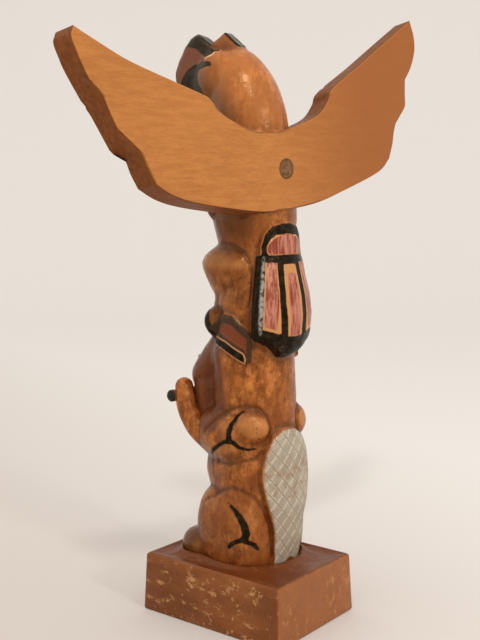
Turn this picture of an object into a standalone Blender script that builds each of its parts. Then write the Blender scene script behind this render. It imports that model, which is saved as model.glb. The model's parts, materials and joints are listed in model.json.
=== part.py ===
# Carved wooden model of a totem pole: a winged bird above a seated beaver that holds a stick, on a
# rectangular block. The pole and its block are one piece of wood. The two wings are one sawn board, let
# into a seat behind the bird's neck and held by one round wooden peg.
# Metres, +Z up. The origin is the middle of the block's underside, and the figures look towards -Y.

import math

import bmesh
import bpy
import numpy as np

# Block under the figures
BLOCK_WIDTH = 0.068        # along X
BLOCK_DEPTH = 0.089        # along Y
BLOCK_HEIGHT = 0.0315
BLOCK_FLARE = 0.0010       # how far each foot edge stands out past the top edge
BLOCK_CHAMFER = 0.0012     # worn edge round the top and the foot
BLOCK_DISH = 0.0010        # hollow worked into the top between the rim and the figure
COLLAR_RISE = 0.0016       # low ring left standing round the figure's foot

# Figures
FIGURE_HEIGHT = 0.2749     # block top to the hump of the bird's beak, the highest point of the head
FIGURE_ACROSS = -0.0050    # the figures' middle line stands this far off the block's middle, along X
FIGURE_TURN = math.radians(-8)    # the figures are carved a little off square to the block
HEAD_TURN = math.radians(12)      # and the bird's head is turned this much on its shoulders
FIGURE_SINK = 0.0020       # depth at which the figure's lowest ring meets the block

# Wing board and its peg
BOARD_SPAN = 0.236
BOARD_THICKNESS = 0.0127
BOARD_BACK = 0.0220        # from the pole's middle plane to the board's back face
BOARD_ROLL = math.radians(8.1)    # the board has turned on its peg
BOARD_GROOVE = 0.0016      # depth of the grooves between the front's feathers
PEG_DIAMETER = 0.0095
PEG_BITE = 0.0100          # how far the peg reaches into the neck
PEG_RECESS = 0.0002        # the peg's end lies a little under the board's back face
FIT = 0.0003               # clearance between touching pieces

# The stick in the beaver's paws
STICK_DIAMETER = 0.0064
STICK_LENGTH = 0.0546

# Steps of the carved surface
COLUMNS = 60               # round the pole
CROWN_ROWS = 9             # from the top of the head down to level
SHAFT_ROWS = 53            # from there down to the block
WING_STEPS = 17            # along each wing
PEG_SIDES = 20             # round the peg and its hole
STICK_SIDES = 12
ARM_SIDES = 14             # round each forearm
CUT_PAST = 0.02            # cutters run this far past the board's back

# The carving's own scale: one part is a millimetre on a figure 274.9 parts high, and heights in parts
# are counted from the block's foot, so that its top is at level 31.5.
FIGURE_PARTS = 274.9
BLOCK_LEVEL = 31.5
PART = FIGURE_HEIGHT / FIGURE_PARTS
BOARD_PARTS = 236.0
BOARD_PART = BOARD_SPAN / BOARD_PARTS
PEG_ACROSS = -0.8          # peg's place in parts: across the pole, and its level
PEG_LEVEL = 235.2
STICK_FORWARD = 37.0       # the stick's place in parts: in front of the spine, and its level
STICK_LEVEL = 114.6
HEAD_HEART = (0.0, -8.0, 280.0)   # the crown's surface is measured outwards from this point

# Line inside the figures from which the shaft's surface is measured outwards
SPINE_LEVELS = (26, 240, 280)
SPINE_BACKS = (0.0, 0.0, -8.0)

# Radius of the trunk at each level, and how far its middle lies behind the spine
TRUNK_LEVELS = (26, 34, 50, 64, 84, 98, 114, 122, 139, 150, 166, 182, 196, 209, 218, 236, 252, 266)
TRUNK_RADII = (23.0, 23.0, 22.6, 22.5, 22.5, 22.3, 22.0, 22.0, 21.2, 21.3, 21.8, 20.5, 19.5, 21.8,
               21.6, 20.8, 19.0, 8.0)
TRUNK_BACKS = (1.0, 1.0, 1.5, 3.0, 3.5, 2.0, 0.5, 0.0, 0.0, 2.5, 3.0, 2.5, 1.5, 0.5, 0.0, 0.0, 0.0, 0.0)

# Radius of the bird's tail and of the beaver's tail at each level, both measured from the spine
BIRD_TAIL_LEVELS = (139, 141, 145, 152, 162, 172, 183, 192, 210)
BIRD_TAIL_RADII = (23.5, 25.2, 27.5, 29.6, 29.9, 28.8, 26.3, 24.4, 23.2)
PADDLE_LEVELS = (31, 38, 46, 60, 76, 90, 100, 104)
PADDLE_RADII = (24.6, 26.0, 27.6, 28.8, 29.3, 28.6, 27.0, 25.6)

# Outlines on the skin: degrees from the back's middle line, and level. They pass the middle line a
# little, because each is used on both sides of it.
BIRD_TAIL = ((-14, 208.6), (6, 208.6), (23.7, 206.9), (33.4, 202.4), (37.4, 196.7), (40.6, 191.3),
             (42.6, 182.5), (45.2, 170.2), (46.6, 157.8), (46.4, 150.6), (37.6, 148.4), (27, 146.2),
             (19, 143.4), (13, 140.6), (-14, 139.6))
PADDLE = ((-14, 103.4), (10, 102.6), (23.4, 98.6), (32.2, 90), (35.7, 82), (35.8, 77), (33.5, 70.6),
          (29, 62.5), (24.6, 56), (22, 49), (21.2, 42), (20.0, 30), (-14, 30))
EAR_BAND = ((110, 152.4), (97, 159.2), (89, 161.8), (73.7, 161.4), (51.3, 153.6), (47.7, 151),
            (47.9, 138), (55, 136.8), (85, 142.6), (118, 147))
EAR_RISE = 2.0             # the ear band stands this far out of the cheek
SKIN_RADIUS = 26.0         # radius on which distances round the pole are measured
PANEL_SLOPE = 2.2          # width of the slope at a panel's edge
STEP_LIMIT = 0.7           # a ray this far off its neighbours' mean is brought half way to it
RAY_START = 70             # rays start this many parts out, beyond every form
RAY_HALVINGS = 10          # halvings of the last step, for the exact place of the surface

# How much narrower the beaver's tail is drawn on -X before it is measured, which makes it broader there
BROADER_LEVELS = (30, 60, 84)
BROADER_SHARES = (0.70, 0.86, 1.0)

# The block's top between the figure's foot and the rim: share of the way, and height over the rim
BLOCK_TOP = ((0.12, COLLAR_RISE), (0.30, -BLOCK_DISH), (0.70, -BLOCK_DISH), (1.0, 0.0))

# Wing outlines in the board's parts: distance from the peg and height over it. Each edge is a smooth
# curve through its points. The outer edge has three feather tips, and a notch lies between each two.
LEFT_TOP = ((0, 18.9), (4.9, 18.5), (18.4, 20.5), (29.3, 24.8), (39.7, 30.8), (45.7, 37.4), (49.2, 39.9),
            (67.3, 47.6), (90.7, 57.7), (106.2, 66.5), (117.4, 73.3))
LEFT_FOOT = ((0, -20.6), (18.7, -19.0), (39.8, -14.4), (62.4, -8.2), (75.0, -3.1), (84.1, 3.1))
LEFT_TIPS = (((117.4, 73.3), (119.3, 69.3), (117.8, 63.4), (115.3, 56.5), (113.0, 51.0)),
             ((113.0, 51.0), (107.3, 44.1), (104.6, 36.8), (101.6, 29.4)),
             ((101.6, 29.4), (93.1, 21.2), (90.2, 17.8), (87.3, 10.0), (84.1, 3.1)))
RIGHT_TOP = ((0, 18.9), (5.8, 19.8), (17.0, 21.8), (28.7, 25.1), (36.1, 31.3), (40.8, 37.2), (65.1, 48.2),
             (87.3, 58.7), (110.7, 69.4))
RIGHT_FOOT = ((0, -20.6), (21.0, -20.2), (40.9, -17.3), (72.8, -10.9), (83.6, -4.7))
RIGHT_TIPS = (((110.7, 69.4), (113.6, 61.0), (113.6, 53.0), (109.4, 44.3), (103.0, 37.4)),
              ((103.0, 37.4), (102.0, 29.6), (101.3, 23.0), (97.2, 18.9), (91.8, 14.2)),
              ((91.8, 14.2), (89.5, 9.3), (87.6, 3.2), (83.6, -4.7)))
# The front outline: the saw cut leans, and the knife cut deeper notches at the front
FRONT_OUT = 1.6            # the outer edge stands this much further out at the front
FRONT_DROP = 1.8           # and every edge lies this much lower there
FRONT_NOTCH_DROP = 9.0     # the front's notches sit this much lower along the edge
FRONT_NOTCH_BITE = 5.0     # and are cut this much deeper
FRONT_FULL = 80.0          # the front stands out in full from this distance from the peg
WING_ROOT = 0.42           # share of the wing's length where the feathers begin
SEAT_REACH = 44.0          # the seat's cutter ends this far from the peg, outside the neck


def clear_scene():
    for thing in list(bpy.data.objects):
        bpy.data.objects.remove(thing, do_unlink=True)


def wood(name, colour, roughness):
    material = bpy.data.materials.new(name)
    material.use_nodes = True
    shader = material.node_tree.nodes["Principled BSDF"]
    shader.inputs["Base Color"].default_value = (*colour, 1.0)
    shader.inputs["Roughness"].default_value = roughness
    shader.inputs["Metallic"].default_value = 0.0
    return material


def make_object(name, vertices, faces, material):
    mesh = bpy.data.meshes.new(name)
    mesh.from_pydata([tuple(v) for v in vertices], [], faces)
    mesh.update()
    thing = bpy.data.objects.new(name, mesh)
    bpy.context.collection.objects.link(thing)
    if material:
        mesh.materials.append(material)
    return thing


# Forms of the carving. Each gives the distance from a point to the form in parts, negative inside it.

def egg(p, middle, half, power=2.0, lean=0.0, up=None):
    """Round form with |x/a|^power + |y/b|^power + |z/c|^power = 1, leaning forwards by lean degrees; up is
    the half height of its upper half, where that differs."""
    x, y, z = p[0] - middle[0], p[1] - middle[1], p[2] - middle[2]
    c, s = math.cos(math.radians(lean)), math.sin(math.radians(lean))
    y, z = y * c + z * s, z * c - y * s
    tall = half[2] if up is None else np.where(z > 0, up, half[2])
    near = np.abs(x / half[0]) ** power + np.abs(y / half[1]) ** power + np.abs(z / tall) ** power
    return (near ** (1 / power) - 1.0) * min(half)


def limb(p, points, radii):
    """Round rod along a broken line: distance to the line less a radius that changes along it."""
    out = np.inf
    for a, b, ra, rb in zip(points, points[1:], radii, radii[1:]):
        run = [q - o for o, q in zip(a, b)]
        off = [p[i] - a[i] for i in range(3)]
        share = np.clip(sum(o * r for o, r in zip(off, run)) / sum(r * r for r in run), 0.0, 1.0)
        gap = np.sqrt(sum((o - share * r) ** 2 for o, r in zip(off, run)))
        out = np.minimum(out, gap - (ra + (rb - ra) * share))
    return out


def join(a, b, soft):
    """Union of two forms whose meeting line is rounded over about the distance soft."""
    h = np.maximum(soft - np.abs(a - b), 0.0) / soft
    return np.minimum(a, b) - h * h * soft * 0.25


def trunk(p):
    """Round column whose radius and middle follow the tables of levels."""
    radius = np.interp(p[2], TRUNK_LEVELS, TRUNK_RADII)
    back = np.interp(p[2], TRUNK_LEVELS, TRUNK_BACKS)
    return np.maximum(np.hypot(p[0], p[1] - back) - radius, p[2] - TRUNK_LEVELS[-1])


def outline_distance(y, z, corners):
    """Distance outside a closed outline drawn in the plane of y and z, negative inside it."""
    nearest = np.full(np.broadcast(y, z).shape, np.inf)
    inside = np.zeros(nearest.shape, bool)
    for (ya, za), (yb, zb) in zip(corners, corners[1:] + corners[:1]):
        dy, dz = yb - ya, zb - za
        share = np.clip(((y - ya) * dy + (z - za) * dz) / (dy * dy + dz * dz), 0.0, 1.0)
        nearest = np.minimum(nearest, np.hypot(y - ya - share * dy, z - za - share * dz))
        if dz != 0.0:
            crosses = ((za <= z) != (zb <= z)) & (y < ya + (z - za) * dy / dz)
            inside ^= crosses
    return np.where(inside, -nearest, nearest)


def slab(p, corners, half, rounding):
    """Slab standing in the middle plane with the given outline, half thickness and rounded edges."""
    face = outline_distance(p[1], p[2], corners) + rounding
    side = np.abs(p[0]) - half + rounding
    return np.minimum(np.maximum(face, side), 0.0) \
        + np.hypot(np.maximum(face, 0.0), np.maximum(side, 0.0)) - rounding


BEAK = ((-8, 288), (-20.5, 294.0), (-25.5, 299.4), (-29.4, 303.8), (-33.6, 306.4), (-37.8, 304.6),
        (-41.8, 299.6), (-45.0, 293), (-46.2, 287), (-45.4, 282), (-43.8, 276), (-43.4, 269), (-41.6, 266.4),
        (-39.0, 269.6), (-36, 272.5), (-26, 268), (-8, 262))
CREST = ((-5, 294), (-8.0, 298.8), (-16.2, 305.6), (-25.3, 300.0), (-20, 290), (-6, 288))
ELBOW = ((10.0, -8, 94), (13.5, -14.5, 90))
ARM = ((13.5, -14.5, 89), (15.4, -20.4, 92.6), (17.2, -25.6, 97.5), (18.6, -29.2, 102.6), (19.4, -32.0, 108),
       (19.5, -33.4, 114.0), (19.0, -34.0, 118.6), (18.7, -34.0, 121.6), (18.5, -34.0, 123.8))
ARM_RADII = (6.4, 6.5, 6.3, 5.8, 5.4, 5.2, 4.8, 3.8, 1.8)


def bird_head(p):
    """Long skull leaning forwards, cheeks, a heavy hooked beak that thins upwards, and a crest; all turned
    a little."""
    c, s = math.cos(HEAD_TURN), math.sin(HEAD_TURN)
    p = (p[0] * c + p[1] * s, p[1] * c - p[0] * s, p[2])
    side = (np.abs(p[0]), p[1], p[2])
    skull = egg(p, (0, -3.5, 262), (18.5, 19.5, 36.8), lean=17)
    cheek = egg(side, (6.5, -17, 281), (9.5, 14, 15))
    beak_half = np.interp(p[2], (284, 306), (11.0, 6.2)) - 0.10 * np.maximum(-25.0 - p[1], 0.0)
    face = join(cheek, slab(p, BEAK, beak_half, 3.6), 2.0)
    return join(join(skull, face, 1.0), slab(p, CREST, 3.7, 0.9), 0.8)


def bird_body(p):
    """Chest, belly, thighs that narrow downwards, ankles, shoulders under the wings, and toes."""
    side = (np.abs(p[0]), p[1], p[2])
    chest = egg(p, (0, -7, 224), (20, 19, 20))
    belly = egg(p, (0, -4, 190), (14, 17, 24))
    narrow = 1.0 - 0.011 * np.maximum(187.0 - p[2], 0.0)
    thigh = egg((side[0] / narrow, side[1] / narrow, side[2]), (9.2, -3.4, 184.2), (16.2, 20.2, 21.5), 2.12,
                up=13.6)
    ankle = limb(side, ((12, -7, 168), (11, -10, 158)), (7.0, 7.0))
    shoulder = egg(side, (15.5, -10.5, 217), (6.4, 6.4, 8.6))
    form = join(join(chest, belly, 4.0), thigh, 0.6)
    form = join(join(form, ankle, 2.0), shoulder, 1.0)
    for spread in (3.2, 7.8, 12.4):
        toe = limb(side, ((spread, -10, 160.5), (spread * 0.92, -21 + spread * 0.35, 156.5)), (4.0, 3.8))
        form = join(form, toe, 0.6)
    return form


def beaver_head(p):
    """Round skull, a knob in front of each ear, a broad muzzle with a nose, and two front teeth."""
    side = (np.abs(p[0]), p[1], p[2])
    skull = egg(p, (0, -1, 138), (21.6, 21.5, 17))
    knob = egg(side, (19.0, -9.0, 157.2), (6.0, 6.0, 7.4))
    muzzle = limb(side, ((6, -14, 142), (6.5, -27.0, 125.5)), (10.0, 10.4))
    nose = egg(p, (0, -38, 133), (5.4, 4.0, 3.6))
    tooth = limb(side, ((2.3, -36.0, 124), (2.3, -36.4, 119)), (2.3, 2.2))
    form = join(join(skull, muzzle, 2.0), nose, 1.0)
    return join(join(form, knob, 0.5), tooth, 0.4)


def beaver_arms(p):
    """Shoulder pad with its ball, the elbow, and the chest and breast between the arms."""
    side = (np.abs(p[0]), p[1], p[2])
    pad = egg(side, (11, -3, 98), (15.6, 20.5, 15.0), 2.5)
    ball = egg(side, (12.4, 11.4, 103.6), (10.8, 10.8, 10.4))
    chest = egg(p, (0, -21, 103), (16, 16.6, 20), 2.4)
    breast = limb(side, ((6.5, -24, 120), (6, -22, 98)), (11, 11))
    chest = join(chest, breast, 2.0)
    return join(join(join(pad, ball, 0.4), limb(side, ELBOW, (9.0, 7.0)), 0.9), chest, 1.5)


def beaver_legs(p):
    """Big round haunch and a foot that points forwards; the haunch on -X is carved a little flatter."""
    side = (np.abs(p[0]), p[1], p[2])
    flatter = np.where(p[0] < 0, 2.2, 0.0)
    haunch = egg((side[0], side[1] + flatter, side[2]), (9, -1.5, 45), (18.5, 24.0, 28.5), 2.5, up=27.4)
    foot = egg(side, (17, -20, 34.8), (11, 14, 9.8))
    return join(haunch, foot, 0.7)


def carving(p):
    """The whole carved figure without its tails, ear bands, forearms, seat and stick."""
    waist = egg(p, (0, -9.5, 78), (19, 18.5, 22))
    form = join(join(trunk(p), waist, 6.0), bird_head(p), 2.0)
    form = join(form, bird_body(p), 0.8)
    form = join(form, beaver_head(p), 0.8)
    form = join(form, beaver_arms(p), 0.5)
    return join(form, beaver_legs(p), 0.5)


def skin_outline(points):
    """Turns degrees from the back's middle line into distance round the pole."""
    return tuple((math.radians(angle) * SKIN_RADIUS, level) for angle, level in points)


def raised(radius, edge, height):
    """Lifts a radius to the given height inside an edge, over a short slope."""
    inside = np.clip(0.5 - edge / PANEL_SLOPE, 0.0, 1.0)
    return radius + np.maximum(height - radius, 0.0) * inside


def carved_radius(origin, heading, rise):
    """Distance along each ray from its origin to the outermost surface, found by walking inwards."""
    cr, sr = np.cos(rise), np.sin(rise)
    away = (np.sin(heading) * cr, np.cos(heading) * cr, sr)
    reach = np.full(np.broadcast(heading, rise).shape, float(RAY_START))
    found = np.zeros(reach.shape, bool)
    for _ in range(RAY_START):
        inside = carving([origin[i] + away[i] * reach for i in range(3)]) < 0.0
        found |= inside
        reach = np.where(found, reach, reach - 1.0)
    low, high = reach, reach + 1.0
    for _ in range(RAY_HALVINGS):
        mid = (low + high) / 2.0
        inside = carving([origin[i] + away[i] * mid for i in range(3)]) < 0.0
        low, high = np.where(inside, mid, low), np.where(inside, high, mid)
    return low


def eased(radius):
    """Softens steps between neighbouring rays that the skin's columns are too coarse to follow."""
    padded = np.pad(radius, ((1, 1), (0, 0)), mode="edge")
    mean = (np.roll(radius, 1, 1) + np.roll(radius, -1, 1) + padded[:-2] + padded[2:]) / 4.0
    return np.where(np.abs(mean - radius) > STEP_LIMIT, (mean + radius) / 2.0, radius)


def dress(radius, angle, level):
    """Adds the two tails and the ear bands to the plain radius. The beaver's tail is broader on -X."""
    arc = np.radians(np.abs(angle)) * SKIN_RADIUS
    bird = outline_distance(arc, level, skin_outline(BIRD_TAIL))
    radius = raised(radius, bird, np.interp(level, BIRD_TAIL_LEVELS, BIRD_TAIL_RADII))
    broader = np.where(angle < 0, np.interp(level, BROADER_LEVELS, BROADER_SHARES), 1.0)
    paddle = outline_distance(arc * broader, level, skin_outline(PADDLE))
    radius = raised(radius, paddle, np.interp(level, PADDLE_LEVELS, PADDLE_RADII))
    band = outline_distance(arc, level, skin_outline(EAR_BAND))
    return raised(radius, band, radius + EAR_RISE)


def headings():
    """World headings of the columns: the block's four corners, with equal steps between them."""
    middle = world_point(0.0, SPINE_BACKS[0], BLOCK_LEVEL)
    corners = []
    for sx, sy in ((1, 1), (1, -1), (-1, -1), (-1, 1)):
        corners.append(math.atan2(sx * BLOCK_WIDTH / 2 - middle[0], sy * BLOCK_DEPTH / 2 - middle[1]))
    corners = [c + 2 * math.pi if c < corners[0] - 1e-9 else c for c in corners]
    corners.append(corners[0] + 2 * math.pi)
    steps = []
    for start, end in zip(corners, corners[1:]):
        count = max(2, round(COLUMNS * (end - start) / (2 * math.pi)))
        steps += [start + (end - start) * i / count for i in range(count)]
    return np.array(steps)


def world_point(x, y, level):
    """Turns a place in the figure's parts into metres in the block's frame."""
    c, s = math.cos(FIGURE_TURN), math.sin(FIGURE_TURN)
    return FIGURE_ACROSS + (np.asarray(x) * c - np.asarray(y) * s) * PART, \
           (np.asarray(x) * s + np.asarray(y) * c) * PART, \
           BLOCK_HEIGHT + (np.asarray(level) - BLOCK_LEVEL) * PART


def block_reach(heading, middle, inset):
    """Distance from the pole's middle to the block's side along each heading."""
    reach = np.full(heading.shape, np.inf)
    for along, half, start in ((np.sin(heading), BLOCK_WIDTH / 2, middle[0]),
                               (np.cos(heading), BLOCK_DEPTH / 2, middle[1])):
        limit = (half - inset) * np.sign(along) - start
        slanting = np.abs(along) > 1e-9
        reach = np.minimum(reach, np.where(slanting, limit / np.where(slanting, along, 1.0), np.inf))
    return reach


def pole_rings():
    """Rings of points from the crown to the block's foot, all on the same columns."""
    world_heading = headings()
    heading = world_heading + FIGURE_TURN
    rings = []
    for row in range(1, CROWN_ROWS + 1):
        rise = np.full(heading.shape, math.radians(90) * (1 - row / CROWN_ROWS))
        radius = carved_radius(HEAD_HEART, heading, rise)
        rings.append(world_point(HEAD_HEART[0] + np.sin(heading) * np.cos(rise) * radius,
                                 HEAD_HEART[1] + np.cos(heading) * np.cos(rise) * radius,
                                 HEAD_HEART[2] + np.sin(rise) * radius))
    lowest = BLOCK_LEVEL + (COLLAR_RISE - FIGURE_SINK) / PART
    level = HEAD_HEART[2] + (lowest - HEAD_HEART[2]) * np.arange(1, SHAFT_ROWS + 1)[:, None] / SHAFT_ROWS
    level = level + 0.0 * heading
    back = np.interp(level, SPINE_LEVELS, SPINE_BACKS)
    radius = eased(carved_radius((0.0, back, level), heading + 0.0 * level, 0.0 * level))
    radius = dress(radius, (np.degrees(heading) + 180.0) % 360.0 - 180.0 + 0.0 * level, level)
    for row in range(SHAFT_ROWS):
        rings.append(world_point(np.sin(heading) * radius[row], back[row] + np.cos(heading) * radius[row],
                                 level[row]))
    foot = rings[-1]
    middle = world_point(0.0, SPINE_BACKS[0], BLOCK_LEVEL)
    inner = np.hypot(foot[0] - middle[0], foot[1] - middle[1])
    outer = block_reach(world_heading, middle, BLOCK_FLARE + BLOCK_CHAMFER)
    for share, height in BLOCK_TOP:
        reach = inner + (outer - inner) * share
        rings.append((middle[0] + np.sin(world_heading) * reach, middle[1] + np.cos(world_heading) * reach,
                      BLOCK_HEIGHT + height))
    for inset, height in ((BLOCK_FLARE, BLOCK_HEIGHT - BLOCK_CHAMFER), (0.0, BLOCK_CHAMFER),
                          (BLOCK_CHAMFER, 0.0)):
        reach = block_reach(world_heading, middle, inset)
        rings.append((middle[0] + np.sin(world_heading) * reach, middle[1] + np.cos(world_heading) * reach,
                      height))
    return rings


def build_pole(material):
    """Closed skin: a point at the crown, the rings, and one flat face under the block."""
    rings = pole_rings()
    columns = len(rings[0][0])
    top = carved_radius(HEAD_HEART, np.zeros(1), np.full(1, math.radians(90)))[0]
    vertices = [[float(v) for v in world_point(0.0, HEAD_HEART[1], HEAD_HEART[2] + top)]]
    for ring in rings:
        z = np.broadcast_to(ring[2], (columns,))
        vertices += [[float(a), float(b), float(c)] for a, b, c in zip(ring[0], ring[1], z)]
    faces = []
    for i in range(columns):
        faces.append((0, 1 + (i + 1) % columns, 1 + i))
    for row in range(len(rings) - 1):
        first = 1 + row * columns
        for i in range(columns):
            j = (i + 1) % columns
            faces.append((first + i, first + j, first + columns + j, first + columns + i))
    last = 1 + (len(rings) - 1) * columns
    faces.append(tuple(last + i for i in range(columns)))
    return make_object("carved_pole", vertices, faces, material)


def rod(name, start, end, radius, sides, material):
    """Closed round rod between two points."""
    start, end = np.array(start), np.array(end)
    along = (end - start) / np.linalg.norm(end - start)
    across = np.cross(along, (0.0, 0.0, 1.0))
    across /= np.linalg.norm(across)
    over = np.cross(across, along)
    turn = np.arange(sides) * 2 * math.pi / sides
    circle = np.outer(np.cos(turn), across) + np.outer(np.sin(turn), over)
    vertices = np.vstack([start + circle * radius, end + circle * radius])
    faces = [tuple(range(sides)), tuple(reversed(range(sides, 2 * sides)))]
    for i in range(sides):
        j = (i + 1) % sides
        faces.append((i, sides + i, sides + j, j))
    thing = make_object(name, vertices, faces, material)
    face_outwards(thing)
    return thing


def bent_rod(name, points, radii, sides):
    """Closed round rod along a broken line, each ring square to the line there."""
    points = np.array(points)
    along = np.gradient(points, axis=0)
    along /= np.linalg.norm(along, axis=1)[:, None]
    over = np.cross(along, (1.0, 0.0, 0.0))
    over /= np.linalg.norm(over, axis=1)[:, None]
    across = np.cross(over, along)
    turn = np.arange(sides) * 2 * math.pi / sides
    reach = np.array(radii)[:, None, None]
    vertices = points[:, None, :] + reach * (np.cos(turn)[None, :, None] * across[:, None, :]
                                             + np.sin(turn)[None, :, None] * over[:, None, :])
    rings = len(points)
    faces = [tuple(range(sides)), tuple((rings - 1) * sides + i for i in reversed(range(sides)))]
    for ring in range(rings - 1):
        first = ring * sides
        for i in range(sides):
            j = (i + 1) % sides
            faces.append((first + i, first + sides + i, first + sides + j, first + j))
    thing = make_object(name, vertices.reshape(-1, 3), faces, None)
    face_outwards(thing)
    return as_cutter(thing)


def face_outwards(thing):
    """Turns every face of a closed mesh outwards."""
    work = bmesh.new()
    work.from_mesh(thing.data)
    bmesh.ops.recalc_face_normals(work, faces=work.faces)
    work.to_mesh(thing.data)
    work.free()


def smooth_run(points, share):
    """Points at the given shares of the length of a smooth curve through a list of points."""
    points = np.array(points, float)
    ends = np.vstack([2 * points[0] - points[1], points, 2 * points[-1] - points[-2]])
    fine = []
    for a, b, c, d in zip(ends, ends[1:], ends[2:], ends[3:]):
        t = np.linspace(0.0, 1.0, 12)[:, None]
        fine.append(0.5 * (2 * b + (c - a) * t + (2 * a - 5 * b + 4 * c - d) * t ** 2
                           + (3 * b - 3 * c + d - a) * t ** 3))
    fine = np.vstack(fine)
    length = np.concatenate([[0.0], np.cumsum(np.linalg.norm(np.diff(fine, axis=0), axis=1))])
    at = np.asarray(share) * length[-1]
    return np.stack([np.interp(at, length, fine[:, 0]), np.interp(at, length, fine[:, 1])], -1)


def outer_edge(tips, share):
    """Outer edge of a wing: three feather tips, each a third of the way."""
    share = np.asarray(share, float)
    out = np.zeros(share.shape + (2,))
    for k, tip in enumerate(tips):
        here = (share * 3 >= k) & (share * 3 <= k + 1)
        out[here] = smooth_run(tip, np.clip(share[here] * 3 - k, 0.0, 1.0))
    return out


def wing_patch(top, foot, tips, along, down):
    """Surface filled between four edges: each point adds the two pairs of facing edges and takes away
    the corners' own blend."""
    upper = smooth_run(top, along)[:, None, :]
    lower = smooth_run(foot, along)[:, None, :]
    outer = outer_edge(tips, down)[None, :, :]
    inner = (np.array(top[0]) * (1 - down[:, None]) + np.array(foot[0]) * down[:, None])[None, :, :]
    u, v = along[:, None, None], down[None, :, None]
    corners = ((1 - u) * (1 - v) * np.array(top[0]) + (1 - u) * v * np.array(foot[0])
               + u * (1 - v) * np.array(top[-1]) + u * v * np.array(foot[-1]))
    return (1 - v) * upper + v * lower + (1 - u) * inner + u * outer - corners


def front_outline(top, foot, tips):
    """The same outline at the board's front: lower, a little further out, with deeper notches."""
    def moved(points, out):
        return tuple((x + out * min(1.0, x / FRONT_FULL), z - FRONT_DROP) for x, z in points)
    new = []
    for k, tip in enumerate(tips):
        run = [list(q) for q in moved(tip, FRONT_OUT)]
        if k > 0:
            run[0] = [run[0][0] - FRONT_NOTCH_BITE, run[0][1] - FRONT_NOTCH_DROP]
            run = [run[0]] + [q for q in run[1:] if q[1] < run[0][1] - 1.0]
        if k < 2:
            run[-1] = [run[-1][0] - FRONT_NOTCH_BITE, run[-1][1] - FRONT_NOTCH_DROP]
        new.append(tuple(tuple(q) for q in run))
    return moved(top, FRONT_OUT), moved(foot, FRONT_OUT), tuple(new)


def board_to_world(across, height, y):
    """Rolls a place on the board about its peg and moves it behind the neck."""
    c, s = math.cos(BOARD_ROLL), math.sin(BOARD_ROLL)
    x = PEG_ACROSS * PART + (across * c + height * s) * BOARD_PART
    z = BLOCK_HEIGHT + (PEG_LEVEL - BLOCK_LEVEL) * PART + (height * c - across * s) * BOARD_PART
    ct, st = math.cos(FIGURE_TURN), math.sin(FIGURE_TURN)
    return np.stack([FIGURE_ACROSS + x * ct - y * st, x * st + y * ct, z], -1)


def feather_depth(along, down):
    """Depth of the grooves between the feathers: two lines along each wing and one across its root."""
    lines = np.minimum(np.abs(down - 1 / 3), np.abs(down - 2 / 3))[None, :]
    outside_root = np.clip((along[:, None] - WING_ROOT) / 0.06, 0.0, 1.0)
    groove = np.clip(1 - lines / 0.035, 0.0, 1.0) * outside_root
    root = np.clip(1 - np.abs(along - WING_ROOT) / 0.03, 0.0, 1.0)[:, None]
    return BOARD_GROOVE * np.maximum(groove, root)


def build_board(material):
    """Closed board: a flat back and a grooved front on the same steps, joined round the edge."""
    down = np.array([0.0, 0.15, 0.29, 1 / 3, 0.376, 0.5, 0.624, 2 / 3, 0.71, 0.85, 1.0])
    root_steps = WING_ROOT + np.array([-0.03, 0.0, 0.03])
    along = np.unique(np.concatenate([np.linspace(0.0, 1.0, WING_STEPS), root_steps]))
    layers = []
    for front in (False, True):
        wings = []
        for side, edges in ((1, (LEFT_TOP, LEFT_FOOT, LEFT_TIPS)), (-1, (RIGHT_TOP, RIGHT_FOOT, RIGHT_TIPS))):
            edges = front_outline(*edges) if front else edges
            patch = wing_patch(*edges, along, down)
            depth = BOARD_THICKNESS - feather_depth(along, down) if front else np.zeros(patch.shape[:2])
            wings.append(board_to_world(patch[..., 0] * side, patch[..., 1], BOARD_BACK - depth))
        layers.append(np.concatenate([wings[0][::-1], wings[1][1:]]))
    rows, cols = layers[0].shape[:2]
    vertices = np.concatenate([layer.reshape(-1, 3) for layer in layers])

    def at(layer, row, col):
        return layer * rows * cols + row * cols + col
    faces = []
    for row in range(rows - 1):
        for col in range(cols - 1):
            faces.append((at(0, row, col), at(0, row + 1, col), at(0, row + 1, col + 1), at(0, row, col + 1)))
            faces.append((at(1, row, col), at(1, row, col + 1), at(1, row + 1, col + 1), at(1, row + 1, col)))
    rim = [(r, 0) for r in range(rows)] + [(rows - 1, c) for c in range(1, cols)]
    rim += [(r, cols - 1) for r in range(rows - 2, -1, -1)] + [(0, c) for c in range(cols - 2, 0, -1)]
    for here, there in zip(rim, rim[1:] + rim[:1]):
        faces.append((at(0, *here), at(1, *here), at(1, *there), at(0, *there)))
    thing = make_object("wing_board", vertices, faces, material)
    face_outwards(thing)
    return thing


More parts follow.
